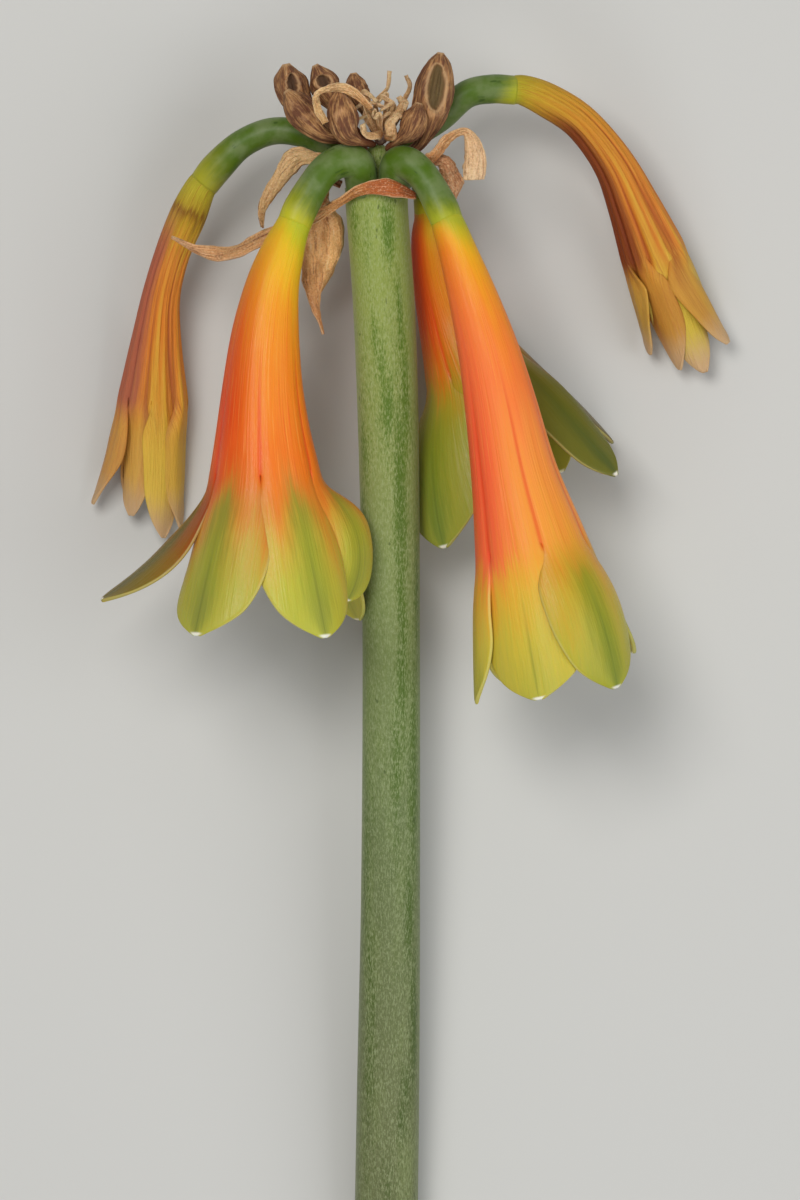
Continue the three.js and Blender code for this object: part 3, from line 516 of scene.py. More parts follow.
def petal_material(name, centre, left, midrib, lobe, arch, ribbed, tint, inside=False, seed=0.0):
    """Ramps run from the bloom's base at 0 over the throat at 0.5 to the lobes' tips at 1. centre
    and left are the colours down the middle and down the left side, midrib and lobe those of the
    lobes' middles and flanks. arch is how far up the midribs the lobes' green reaches. ribbed and
    tint run over the petals in turn: how strong the green midrib is, and what each lobe's colour
    is multiplied by, which gives some lobes a hue of their own and others painted shade."""
    s = Shader(name)
    across, along = s.uv()
    side, front, petal = s.named("side"), s.named("front"), s.named("petal")
    middle = s.math("ABSOLUTE", s.minus(s.times(across, 2), 1))
    around = s.vector(s.times(side, 11), s.times(front, 11), s.times(along, 3.2))
    vein = s.noise(around, 2.2, 2, 0.6)
    broad = s.noise(s.vector(s.times(side, 3), s.times(front, 3), s.plus(s.times(along, 4), seed)),
                    1.1, 2, 0.5)
    drift = s.plus(s.times(s.minus(vein, 0.5), 0.16), s.times(s.minus(broad, 0.5), 0.22))
    place = s.plus(along, s.times(drift, s.span(along, 0.1, 0.45, 0.25, 1)))
    # The ovary's green runs further down the right side
    late = s.times(s.span(side, -0.5, 0.9), s.span(along, 0.4, 0.05, 0, 0.07))
    place = s.minus(place, late)
    # The midribs turn green before the lobes' flanks do
    ahead = s.times(s.minus(1, middle), s.span(along, 0.34, 0.52, 0, arch))
    place = s.plus(place, ahead)
    colour = s.ramp(place, centre)
    redder = s.span(s.plus(side, s.times(s.minus(vein, 0.5), 0.5)), 0.05, -0.75)
    colour = s.mix(redder, colour, s.ramp(place, left))
    # Fine red and pale lines down the tube
    tube = s.times(s.span(along, 0.16, 0.3), s.span(along, 0.62, 0.48))
    colour = s.mix(s.times(s.span(vein, 0.56, 0.74), s.times(tube, 0.4)), colour, tone("ee4f22"))
    colour = s.mix(s.times(s.span(vein, 0.42, 0.28), s.times(tube, 0.35)), colour, tone("fba64e"))
    crease = s.times(s.span(along, 0.28, 0.4), s.span(along, 0.58, 0.5))
    crease = s.times(crease, s.span(middle, 0.84, 1))
    colour = s.mix(s.times(crease, 0.6), colour, tone("e2401c"))
    # Lobes: flanks, then the green band down the midrib with its darker veins
    in_lobe = s.span(place, 0.5, 0.68)
    colour = s.mix(in_lobe, colour, s.ramp(place, lobe))
    band = s.plus(middle, s.times(s.minus(vein, 0.5), 0.6))
    band = s.times(s.span(band, 0.55, 0.0), s.span(place, 0.52, 0.7))
    band = s.times(band, s.ramp(petal, ribbed))
    colour = s.mix(s.times(band, 0.9), colour, s.ramp(place, midrib))
    # Each lobe's colour is multiplied by its own ramp value: a hue of its own on some lobes,
    # painted shade on the back bloom's right-hand lobes.
    colour = s.mix(s.span(along, 0.46, 0.62), colour, s.ramp(petal, tint), "MULTIPLY")
    line = s.times(s.span(middle, 0.05, 0.0), s.span(along, 0.6, 0.85))
    colour = s.mix(s.times(line, 0.3), colour, tone("4f6020"))
    edge = s.times(s.span(middle, 0.93, 1.0), s.span(along, 0.56, 0.66))
    colour = s.mix(s.times(edge, 0.5), colour, tone("cfc67a"))
    nib = s.times(s.span(along, 0.986, 0.994), s.span(middle, 0.9, 0.4))
    colour = s.mix(nib, colour, tone("f0eddc"))
    if inside:
        colour = s.mix(0.35, colour, tone("dccb48"))
    speck = s.noise(s.stretched(1, 1, 1), 2600, 2, 0.5)
    shine = s.span(speck, 0.35, 0.65, 0.3, 0.42)
    relief = s.plus(s.times(vein, 0.8), s.times(speck, 0.12))
    return s.done(Base_Color=colour, Roughness=shine, Subsurface_Weight=0.15,
                  Subsurface_Scale=0.002, Subsurface_Radius=(1.0, 0.4, 0.1),
                  Specular_IOR_Level=0.2, Normal=s.bump(relief, 0.00022, 0.55))


def open_bloom(name, stalk_points, tube, lobes, cup, outside, inside, seed):
    line = tube_line(stalk_points, tube)

    def rib(t, angle, u):
        crease = bell(abs(u * 2 - 1), 1, 0.16)
        ridge = bell(u, 0.5, 0.09)
        return 1 - (0.035 * crease + 0.012 * ridge) * step(0.25, 1, t)
    bm = petals(line, lobes, LOBE_OUTLINE, cup, rib, lift=0.4, wave=0.3, seed=seed)
    piece(name + "_petals", bm, [outside, inside], [name + "_perianth"],
          thickness=OPEN_THICK, inner=1, core=line(0.1).at, levels=1)


FRONT_LEFT_COLOURS = dict(
    centre=[(0, "b4b826"), (0.06, "c8bc20"), (0.12, "e4b81e"), (0.18, "eeb01e"), (0.24, "f09a1e"),
            (0.34, "f0881e"), (0.43, "f08220"), (0.5, "ee781e"), (0.58, "e08426"), (0.68, "c8a034"),
            (0.8, "b4b03c")],
    left=[(0, "c4ba24"), (0.07, "d8b620"), (0.14, "e2a41e"), (0.22, "e0801c"), (0.3, "dc581a"),
          (0.37, "de4a14"), (0.46, "e4561a"), (0.54, "dc5c1e"), (0.64, "c87c2c"), (0.74, "b4a038")],
    lobe=[(0.5, "ec6c1c"), (0.6, "e4782a"), (0.69, "da9432"), (0.77, "ccac3e"), (0.88, "bcb840"),
          (1, "b2b440")],
    midrib=[(0.5, "c8682a"), (0.57, "a8842e"), (0.66, "929432"), (0.82, "9aa232"), (1, "90983c")],
    arch=0.07,
    ribbed=[(0, "ffffff"), (1, "ffffff")],
    tint=[(0, "ffffff"), (0.5, "ffffff"), (0.667, "b0989c"), (0.833, "f4f0ff")],
)
FRONT_RIGHT_COLOURS = dict(
    centre=[(0, "acac28"), (0.05, "ccb020"), (0.1, "eca81c"), (0.15, "f29a20"), (0.24, "f4862c"),
            (0.33, "f67c36"), (0.4, "f58c3c"), (0.5, "f29838"), (0.58, "eaa434"), (0.66, "deae34"),
            (0.78, "c8b43c")],
    left=[(0, "b4a828"), (0.06, "e09c20"), (0.13, "ee8024"), (0.26, "f67440"), (0.42, "f8623e"),
          (0.55, "f87044"), (0.66, "ec8c44"), (0.76, "d4a444")],
    lobe=[(0.5, "f08c34"), (0.6, "eaa236"), (0.7, "deb03a"), (0.82, "ccb840"), (1, "b4b042")],
    midrib=[(0.5, "e8842a"), (0.6, "c89c2e"), (0.7, "a49e2a"), (0.85, "969c34"), (1, "8c9640")],
    arch=0.03,
    ribbed=[(0, "ffffff"), (0.17, "ffffff"), (0.5, "ffffff"), (0.667, "303030"), (0.833, "303030")],
    tint=[(0, "e4ecd8"), (0.167, "dce4c8"), (0.333, "ffffff"), (0.833, "ffffff")],
)
# The back bloom's colours are darker than the front blooms': partly its own deeper orange, partly
# painted shade for its place behind them. Its lobe colours are raised as painted light against the
# shadow that the stem and the front-right bloom cast on its left-hand lobes, and its last ramp
# darkens its three right-hand lobes again as painted shade.
BACK_RIGHT_COLOURS = dict(
    centre=[(0, "a89e20"), (0.1, "c49a1c"), (0.22, "cc8014"), (0.36, "d27a14"), (0.46, "cc861c"),
            (0.56, "b09426"), (0.7, "98942a")],
    left=[(0, "b88a20"), (0.08, "c8661a"), (0.2, "d84a1a"), (0.38, "dc5018"), (0.48, "d4701c"),
          (0.58, "b88c26"), (0.68, "a0982c")],
    lobe=[(0.5, "cc861e"), (0.58, "b09626"), (0.7, "9c9a30"), (1, "949a3c")],
    midrib=[(0.5, "b4842a"), (0.62, "8c8c28"), (0.8, "7e8a28"), (1, "76883a")],
    arch=0.04,
    ribbed=[(0, "ffffff"), (1, "ffffff")],
    tint=[(0, "b8b4b4"), (0.167, "b09490"), (0.333, "c0c0b0"), (0.5, "ffffff"), (0.833, "ffffff")],
)

for name, points, tube, lobes, slot, colours, seed in [
    ("front_left", FRONT_LEFT_STALK, FRONT_LEFT_TUBE, FRONT_LEFT_LOBES, "petal_orange",
     FRONT_LEFT_COLOURS, 3),
    ("front_right", FRONT_RIGHT_STALK, FRONT_RIGHT_TUBE, FRONT_RIGHT_LOBES, "petal_orange",
     FRONT_RIGHT_COLOURS, 7),
    ("back_right", BACK_RIGHT_STALK, BACK_RIGHT_TUBE, BACK_RIGHT_LOBES, "petal_deep",
     BACK_RIGHT_COLOURS, 11),
]:
    outside = petal_material(name + ", petal outside", **colours, seed=seed)
    inside = petal_material(name + ", petal inside", **colours, inside=True, seed=seed)
    cup = BACK_RIGHT_CUP if name == "back_right" else OPEN_CUP
    open_bloom(name, points, tube, lobes, cup, outside, inside, seed)

# Stamens and styles
# Six thin stamens with dusty anthers are grown to each open bloom's wall and stand free in its
# mouth. The longer style runs down the middle from the ovary to its small stigma.

STAMEN_COUNT = 6
STAMEN_TURN = 20
# Share of the tube's line, share of its radius, millimetres past that
STAMEN_ROUTE = [(0.7, 0.96, 0), (0.85, 0.6, 0), (1, 0.36, 5)]
FILAMENT = 0.36
ANTHER = [(-0.5, 0.3), (-0.42, 0.62), (-0.2, 0.84), (0.2, 0.8), (0.42, 0.6), (0.5, 0.3)]
ANTHER_LENGTH = 3.4
STYLE = 0.42
STYLE_PAST = 9
STIGMA = 0.75

s = Shader("filament, pale green")
across, along = s.uv()
filament_green = s.done(Base_Color=s.ramp(along, [(0, "c9cf6a"), (0.7, "d8d98a"), (1, "e6e2a8")]),
                        Roughness=0.4, Subsurface_Weight=0.2, Subsurface_Scale=0.001)
s = Shader("anther, pollen")
pollen = s.noise(s.stretched(1, 1, 1), 5200, 3, 0.7)
anther_yellow = s.done(Base_Color=s.mix(pollen, tone("b98a2c"), tone("f0d060")), Roughness=0.9,
                       Normal=s.bump(pollen, 0.0002, 0.8))


def anther_shape(t, angle, place):
    return (1 - 0.22 * bell(abs(math.cos(angle)), 1, 0.4),)


for name, points, tube in [
    ("front_left", FRONT_LEFT_STALK, FRONT_LEFT_TUBE),
    ("front_right", FRONT_RIGHT_STALK, FRONT_RIGHT_TUBE),
    ("back_right", BACK_RIGHT_STALK, BACK_RIGHT_TUBE),
]:
    line = tube_line(points, tube)
    rim = line(1.0)
    bm = bmesh.new()
    for k in range(STAMEN_COUNT):
        angle = math.radians(STAMEN_TURN + k * 360 / STAMEN_COUNT)
        route = []
        for t, share, past in STAMEN_ROUTE:
            place = line(t)
            ray = place.front * math.cos(angle) + place.side * math.sin(angle)
            route.append((*(place.at + place.along * past + ray * place.size * share), FILAMENT))
        round_skin(route, 20, 8, bm=bm)
        foot = Vector(route[-1][:3])
        body = [(*(foot + rim.along * (share * ANTHER_LENGTH)), size) for share, size in ANTHER]
        round_skin(body, 14, 12, anther_shape, bm=bm, material=1)
    style = [(*line(t).at, STYLE) for t in (0.02, 0.2, 0.4, 0.6, 0.8, 1.0)]
    style.append((*(rim.at + rim.along * (STYLE_PAST - 1)), STYLE))
    style.append((*(rim.at + rim.along * STYLE_PAST), STIGMA))
    round_skin(style, 40, 10, bm=bm)
    piece(name + "_stamens", bm, [filament_green, anther_yellow],
          [name + "_perianth"])

# Wilted blooms
# Two spent blooms whose tubes have sunk into long pleats. Their lobes have closed and dried at
# the tips. The flesh has gone from yellow to a brownish orange with mauve down the folds, painted
# darker there as painted shade, and the pleat ridges are painted a paler yellow as painted light.

WILTED_OUTLINE = [(0, 0.95), (0.2, 1), (0.4, 1), (0.6, 0.9), (0.8, 0.62), (0.93, 0.32),
                  (1, 0.06)]
WILTED_LEFT_TUBE = [
    (-33.3, -4.9, -8.6, 2.95), (-36.1, -11.6, -10.0, 2.8), (-38.3, -19.5, -11.6, 3.1),
    (-39.3, -28.5, -13.2, 4.3), (-39.8, -37, -14.4, 5.7),
]
WILTED_LEFT_LOBES = [
    (-70, 20.5, 9, 9, 14, 1, 0), (-28, 21.5, 10, 3, -3, -1, 0), (26, 25, 9.5, 4, -2, 1, 0),
    (68, 23.5, 10, 5, -2, -1, 0), (126, 22, 10, 2, -2, 1, 0), (218, 20, 10, 2, -3, -1, 0),
]
WILTED_RIGHT_TUBE = [
    (29.6, 15.1, -8.8, 2.75), (35.6, 11.2, -9.8, 2.9), (41.2, 4.2, -11.2, 3.35),
    (44.9, -3.4, -12.8, 4.25), (48.1, -11, -14.6, 5.3),
]
WILTED_RIGHT_LOBES = [
    (-80, 18, 9, 7, 5, 1, 0), (-36, 22, 9.5, 3, 0, -1, 0), (4, 24, 10, 2, -3, 1, 0),
    (52, 21, 10, 6, 8, -1, 0), (118, 18.5, 9.5, 2, -3, 1, 0), (224, 17, 10, 2, -3, -1, 0),
]
PLEATS = 8
WILTED_CUP = 4.2
WILTED_THICK = 0.55
# The spent tubes have sunk to this share of their width from front to back
WILTED_DEEP = 0.62


def wilted_rib(t, angle, u):
    """Rounded pleats with sharp folds between them, which deepen down the tube."""
    turn = PLEATS / 2 * angle + 0.7 * math.sin(angle + 1) + 0.5 * math.sin(3 * angle + 2 * t)
    pleat = (abs(math.sin(turn)) ** 0.8 - 0.66) * (0.7 + 0.3 * math.sin(2 * angle + 1))
    fine = 0.035 * math.cos(19 * angle + 2 + 4 * t) + 0.02 * math.cos(31 * angle - 5 * t)
    return 1 + step(0.22, 1, t) * 0.23 * pleat + step(0.1, 0.5, t) * fine


def wilted_material(name, centre, tips, fold_colour, left, seed):
    """centre runs from the bloom's base to its tips, tips are the lobes' own colours by turn, and
    left is the colour of a band down the tube's left side."""
    s = Shader(name)
    across, along = s.uv()
    side, front = s.named("side"), s.named("front")
    fold, petal = s.named("fold"), s.named("petal")
    around = s.vector(s.times(side, 9), s.times(front, 9), s.plus(s.times(along, 3), seed))
    vein = s.noise(around, 2.6, 3, 0.65)
    broad = s.noise(around, 0.5, 2, 0.5)
    drift = s.plus(s.times(s.minus(vein, 0.5), 0.14), s.times(s.minus(broad, 0.5), 0.22))
    place = s.plus(along, s.times(drift, s.span(along, 0.08, 0.3, 0.15, 1)))
    colour = s.ramp(place, centre)
    # Mauve down the pleat valleys: partly the spent flesh's own colour, partly painted shade in the
    # folds. The next lines paint the pleat ridges a paler yellow as painted light.
    deep = s.times(s.span(fold, 0.01, -0.1), s.span(along, 0.14, 0.3))
    colour = s.mix(s.times(deep, 0.6), colour, tone(fold_colour))
    high = s.times(s.span(s.plus(fold, s.times(broad, 0.1)), 0.08, 0.17), s.span(along, 0.2, 0.4))
    colour = s.mix(s.times(high, 0.55), colour, tone("dcb83e"))
    colour = s.mix(s.span(vein, 0.52, 0.7, 0, 0.5), colour, tone("a8502c"))
    colour = s.mix(s.span(vein, 0.44, 0.3, 0, 0.45), colour, tone("ecc258"))
    edge = s.plus(side, s.times(s.minus(vein, 0.5), 0.6))
    edge = s.times(s.span(edge, -0.2, -0.6), s.span(along, 0.12, 0.26))
    edge = s.times(edge, s.span(along, 0.66, 0.5))
    colour = s.mix(s.times(edge, 0.88), colour, tone(left))
    lobe = s.span(along, 0.52, 0.72)
    colour = s.mix(s.times(lobe, 0.7), colour, s.ramp(petal, tips))
    dry = s.span(s.plus(along, s.times(vein, 0.1)), 0.86, 1.04)
    colour = s.mix(dry, colour, tone("c9a67c"))
    grain = s.noise(s.stretched(1, 1, 1), 2400, 3, 0.6)
    relief = s.plus(vein, s.times(grain, 0.25))
    return s.done(Base_Color=colour, Roughness=0.5, Specular_IOR_Level=0.22,
                  Subsurface_Weight=0.1, Subsurface_Scale=0.0015, Subsurface_Radius=(1.0, 0.5, 0.2),
                  Normal=s.bump(relief, 0.0003, 0.7))


WILTED_LEFT_COLOURS = dict(
    centre=[(0, "a29e26"), (0.08, "b8ac2c"), (0.14, "b49a28"), (0.16, "8a621e"), (0.185, "b89426"),
            (0.21, "c89a2e"), (0.27, "dc8c34"), (0.4, "e4882e"), (0.55, "dc9834"), (0.75, "d0a840"),
            (1, "c8ac68")],
    tips=[(0, "e8c44e"), (0.25, "d8a844"), (0.45, "c08440"), (0.7, "c88a4c"), (0.85, "e0ac54")],
    fold_colour="9c4a38",
    left="a85a48",
)
WILTED_RIGHT_COLOURS = dict(
    centre=[(0, "a6a626"), (0.06, "b4a222"), (0.14, "c29826"), (0.26, "cc8a2a"), (0.36, "d0802a"),
            (0.46, "cc7a28"), (0.56, "cc8c2e"), (0.8, "c8a43c"), (1, "ccb464")],
    tips=[(0, "ccb43e"), (0.2, "cc8c3c"), (0.45, "dcc85a"), (0.7, "b8883c"), (0.85, "c07c34")],
    fold_colour="9c3c1c",
    left="6e2610",
)
for name, points, tube, lobes, colours, seed in [
    ("wilted_left", WILTED_LEFT_STALK, WILTED_LEFT_TUBE, WILTED_LEFT_LOBES,
     WILTED_LEFT_COLOURS, 5),
    ("wilted_right", WILTED_RIGHT_STALK, WILTED_RIGHT_TUBE, WILTED_RIGHT_LOBES,
     WILTED_RIGHT_COLOURS, 9),
]:
    bm = petals(tube_line(points, tube), lobes, WILTED_OUTLINE, WILTED_CUP, wilted_rib, lift=0.3,
                wave=0.4, deep=WILTED_DEEP, parting=0.3, keep=1, seed=seed)
    flesh = wilted_material(name + ", spent petal", seed=seed, **colours)
    piece(name + "_petals", bm, [flesh], [name + "_perianth"],
          thickness=WILTED_THICK, levels=1)

# Dry seed pods
# Seven dry brown capsules on thin stalks, three-sided, ribbed and wrinkled, each with a small
# beak. Some have split, and show a hollow with a pale lip. They stand round the crown.

# Points of the stalk and pod, then the middle, half width and half height of the hollow
PODS = {
    "pod_tall_right": ([
        (2.3, 5.9, 0.0, 0.75), (5.6, 6.4, 0.6, 0.85), (7.6, 8.4, 1.0, 1.2), (8.8, 12.4, 1.2, 2.8),
        (9.8, 17.4, 1.3, 3.2), (10.6, 21.6, 1.3, 1.9), (10.9, 23.6, 1.3, 0.5),
    ], (10.2, 17.6, 2.3, 4.6)),
    "pod_small_right": ([
        (1.7, 7.0, 1.6, 0.6), (3.6, 8.4, 4.4, 0.9), (5.4, 10.0, 5.6, 1.9), (6.5, 12.6, 5.9, 2.0),
        (7.1, 15.0, 5.8, 0.5),
    ], None),
    "pod_upper_left": ([
        (-2.3, 6.0, -1.2, 0.7), (-6.6, 9.8, -0.9, 0.8), (-11.2, 12.6, -0.8, 1.1),
        (-14.0, 15.2, -0.8, 2.5), (-15.4, 18.6, -0.8, 2.7), (-16.0, 21.6, -0.8, 0.6),
    ], (-14.8, 18.0, 1.2, 2.3)),
    "pod_tilted_left": ([
        (-2.1, 6.7, 1.4, 0.65), (-6.2, 8.6, 3.4, 0.9), (-9.4, 9.6, 4.2, 1.6),
        (-12.1, 12.2, 4.3, 2.6), (-14.3, 14.9, 4.4, 2.2), (-15.9, 17.1, 4.4, 0.5),
    ], None),
    "pod_split": ([
        (-1.6, 7.5, -1.4, 0.6), (-5.6, 12.0, -1.6, 0.8), (-8.4, 16.0, -1.6, 2.0),
        (-9.6, 18.6, -1.6, 2.4), (-11.0, 21.4, -1.6, 0.5),
    ], (-9.4, 18.6, 1.7, 1.3)),
    "pod_egg": ([
        (-0.9, 7.7, 1.2, 0.6), (-3.3, 8.4, 6.3, 0.9), (-5.2, 9.8, 7.9, 2.0),
        (-6.1, 12.6, 8.1, 2.6), (-6.5, 15.4, 7.8, 1.8), (-6.4, 17.3, 7.7, 0.45),
    ], None),
    "pod_back": ([
        (0.2, 8.0, -1.9, 0.6), (-1.6, 12.4, -2.4, 0.8), (-3.4, 16.2, -2.5, 1.9),
        (-4.0, 18.2, -2.5, 1.7), (-4.3, 20.0, -2.5, 0.5),
    ], None),
}
POD_RIBS = 3
HUSK_PALE = "b0804e"
HUSK_DARK = "6c4026"


def pod_shape(hollow, seed):
    def shape(t, angle, place):
        seam = 0.1 * math.cos(POD_RIBS * angle) + 0.05 * bell(math.cos(POD_RIBS * angle), 1, 0.1)
        wrinkle = noise.noise(Vector((3 * math.cos(angle), 3 * math.sin(angle), 5 * t + seed)))
        crease = noise.noise(Vector((9 * math.cos(angle), 9 * math.sin(angle), 4 * t + seed)))
        fine = math.cos(21 * angle + 3 * math.sin(6 * t + seed))
        share = 1 + seam + 0.14 * wrinkle - 0.16 * abs(crease) + 0.03 * fine + 0.04
        sunk = 0
        if hollow and math.cos(angle) > 0:
            x, y, wide, high = hollow
            ray = place.front * math.cos(angle) + place.side * math.sin(angle)
            at = place.at + ray * place.size
            off = math.hypot((at.x - x) / wide, (at.y - y) / high)
            sunk = step(1.0, 0.75, off)
            share += 0.1 * bell(off, 1.1, 0.14) - 0.5 * sunk
        return share, sunk
    return shape


def pod_material(name, pale, dark, hollow, seed):
    s = Shader(name)
    across, along = s.uv()
    stripe = s.noise(s.vector(s.times(across, 26), s.times(along, 5), seed), 1, 3, 0.65)
    blotch = s.noise(s.stretched(1, 1, 1), 420, 3, 0.6)
    colour = s.mix(s.span(stripe, 0.4, 0.62), tone(dark), tone(pale))
    colour = s.mix(s.span(stripe, 0.58, 0.7, 0, 0.7), colour, tone("d4a878"))
    colour = s.mix(s.span(blotch, 0.48, 0.7, 0, 0.6), colour, tone("5a3520"))
    colour = s.mix(s.span(blotch, 0.45, 0.3, 0, 0.4), colour, tone("c89a6c"))
    colour = s.mix(s.span(along, 0.36, 0.1, 0, 0.75), colour, tone("7c3c1c"))
    colour = s.mix(s.span(along, 0.93, 0.97), colour, tone("caa274"))
    sunk = s.named("sunk")
    rim = s.times(s.span(sunk, 0.02, 0.3), s.span(sunk, 0.7, 0.35))
    colour = s.mix(sunk, colour, s.mix(stripe, tone(hollow), tone("3c2a16")))
    colour = s.mix(s.times(rim, 0.6), colour, tone("cfa678"))
    grain = s.noise(s.stretched(1, 1, 1), 2600, 3, 0.65)
    relief = s.plus(stripe, s.times(grain, 0.4))
    return s.done(Base_Color=colour, Roughness=0.78, Subsurface_Weight=0.05,
                  Subsurface_Scale=0.001, Normal=s.bump(relief, 0.0004, 0.9))


for seed, (name, (points, hollow)) in enumerate(PODS.items()):
    inside = "7c6434" if name == "pod_tall_right" else "5c3c22"
    husk = pod_material(name + ", dry husk", HUSK_PALE, HUSK_DARK, inside, seed)
    bm = round_skin(points, 72, 48, pod_shape(hollow, seed), ["sunk"])
    piece(name + "_husk", bm, [husk], [name])

# Dry bracts
# The two thin papery valves that once wrapped the bud, and scraps of them, dried brown. They
# are fixed round the stem's top under the stalks, and hang, curl and fold as they dried.

BRACT_THICK = 0.25
BRACT_CRUMPLE = 0.34
# Curl across in degrees, then points with the half width and the turn about the bract's line
BRACTS = {
    "bract_long": (28, [
        (6.5, -1.0, 5.2, 0.8, 58), (1.8, 0.5, 7.8, 1.5, 12), (-2.8, 0.0, 7.4, 1.2, -20),
        (-6.8, -2.4, 4.4, 1.0, -40), (-12.2, -5.4, 2.9, 1.1, 20), (-19.4, -8.0, 3.2, 1.5, 34),
        (-25.8, -11.0, 1.4, 1.6, 50), (-31.0, -10.8, 0.6, 1.0, -20), (-36.0, -8.6, -0.6, 0.4, -60),
    ]),
    "bract_broad": (70, [
        (-6.4, 0.6, -1.0, 0.8, 0), (-9.2, 1.6, -0.4, 1.4, 10), (-11.1, -2.0, -0.4, 3.4, 20),
        (-10.4, -8.4, -0.2, 5.2, 14), (-10.6, -14.6, -0.2, 3.5, 0), (-10.7, -19.4, 0.2, 1.7, -50),
        (-9.5, -25.4, 0.6, 0.4, -110),
    ]),
    "bract_thin": (60, [
        (-3.2, 6.4, 0.6, 0.8, 60), (-9.0, 5.8, 1.6, 1.2, 60), (-14.4, 5.6, 2.2, 2.3, 20),
        (-17.8, 1.4, 2.6, 1.7, 40), (-20.0, -3.4, 3.4, 0.9, -20), (-20.0, -6.6, 4.6, 0.4, -60),
    ]),
    "bract_folded": (60, [
        (6.2, 4.6, 1.8, 1.2, 40), (9.6, 5.2, 3.0, 1.4, 50), (12.4, 8.6, 3.4, 1.1, 40),
        (15.2, 9.8, 3.6, 0.8, 10), (16.8, 6.4, 3.8, 2.1, 0), (17.0, 1.6, 3.8, 2.3, -20),
    ]),
    "bract_curled": (100, [
        (6.8, 1.8, 0.6, 0.7, 20), (9.0, 4.5, 0.8, 1.2, 20), (11.4, 4.3, 1.2, 2.0, 10),
        (12.6, 1.2, 1.6, 3.6, 0), (12.9, -2.4, 1.6, 1.2, -10),
    ]),
    "ribbon_left": (40, [
        (-9.0, 11.6, 9.6, 0.6, 0), (-10.4, 14.4, 9.0, 0.8, 30), (-10.0, 16.8, 7.8, 0.7, 50),
        (-5.4, 17.4, 9.4, 0.9, 20), (-1.2, 14.0, 8.2, 0.6, 50),
    ]),
}


def ribbon_skin(points, curl, rows, columns, seed, crumple, bm=None):
    """A dry ribbon: curled across, crumpled, and ragged along its edges."""
    line = line_through(points)
    bend = math.radians(curl)

    def point_at(along, u):
        place = line(round(along, 5))
        across = place.side * math.cos(place.turn) + place.front * math.sin(place.turn)
        normal = place.front * math.cos(place.turn) - place.side * math.sin(place.turn)
        ragged = 1 + 0.2 * noise.noise(Vector((along * 7, round(u), seed)))
        ragged += 0.1 * noise.noise(Vector((along * 26, round(u), seed)))
        curve = place.size * ragged / bend
        swing = (u * 2 - 1) * bend
        fold = noise.noise(Vector((along * 5, u * 3, seed + 4)))
        fold += 0.8 * abs(noise.noise(Vector((along * 11, u * 5, seed + 9))))
        fold += 0.25 * noise.noise(Vector((along * 30, u * 12, seed + 2)))
        off = crumple * place.size * fold
        off += 0.07 * math.cos(u * 34 + 5 * fold) * min(1, place.size)
        return (place.at + across * math.sin(swing) * curve
                + normal * ((math.cos(swing) - 1) * curve + off),)
    return skin(rows, columns, point_at, bm=bm)


def paper_material(name, colours, dark, seed):
    """colours run from the bract's root to its tip."""
    s = Shader(name)
    across, along = s.uv()
    vein = s.noise(s.vector(s.times(across, 16), s.times(along, 5), seed), 1, 3, 0.6)
    blotch = s.noise(s.stretched(1, 1, 1), 500, 3, 0.6)
    colour = s.mix(s.span(vein, 0.5, 0.7, 0, 0.8), s.ramp(along, colours), tone(dark))
    colour = s.mix(s.span(blotch, 0.5, 0.75, 0, 0.4), colour, tone("8a5836"))
    colour = s.mix(s.span(vein, 0.44, 0.3, 0, 0.8), colour,
                   s.mix(0.6, s.ramp(along, colours), tone("f6dcb4")))
    grain = s.noise(s.stretched(1, 1, 1), 3000, 3, 0.65)
    colour = s.mix(s.span(grain, 0.5, 0.68, 0, 0.4), colour, tone(dark))
    colour = s.mix(s.span(grain, 0.48, 0.34, 0, 0.6), colour,
                   s.mix(0.5, s.ramp(along, colours), tone("f4dcb8")))
    edge = s.math("ABSOLUTE", s.minus(s.times(across, 2), 1))
    colour = s.mix(s.span(edge, 0.84, 0.97, 0, 0.6), colour, tone("ecc89c"))
    relief = s.plus(vein, s.times(grain, 0.5))
    return s.done(Base_Color=colour, Roughness=0.72, Subsurface_Weight=0.1,
                  Subsurface_Scale=0.001, Normal=s.bump(relief, 0.0003, 0.9))


BRACT_COLOURS = {
    "bract_long": ([(0, "b45a22"), (0.2, "bc6428"), (0.3, "cc8844"), (0.5, "cc985c"),
                    (0.8, "dca46c"), (1, "e4b080")], "74401e"),
    "bract_broad": ([(0, "8a5030"), (0.25, "d0945c"), (0.6, "f0b874"), (1, "cc8854")], "945a32"),
    "bract_thin": ([(0, "c09460"), (0.4, "e0b880"), (0.8, "d4a870"), (1, "b88450")], "8c6034"),
    "bract_folded": ([(0, "c06c34"), (0.4, "d49c60"), (0.7, "e0b484"), (1, "e8c498")], "94643c"),
    "bract_curled": ([(0, "a4603a"), (0.5, "c48c5e"), (1, "cc986c")], "84502e"),
    "ribbon_left": ([(0, "d8a868"), (0.5, "ecc48c"), (1, "cc9458")], "946436"),
}
for seed, (name, (curl, points)) in enumerate(BRACTS.items()):
    colours, dark = BRACT_COLOURS[name]
    bm = ribbon_skin(points, curl, 96, 20, seed * 7, BRACT_CRUMPLE)
    piece(name + "_paper", bm, [paper_material(name + ", dry paper", colours, dark, seed)],
          [name], thickness=BRACT_THICK)

# Dry bractlets
# A tangle of thin dry ribbons and threads, the small bracts between the stalks. They spring
# from one withered tuft on the crown.

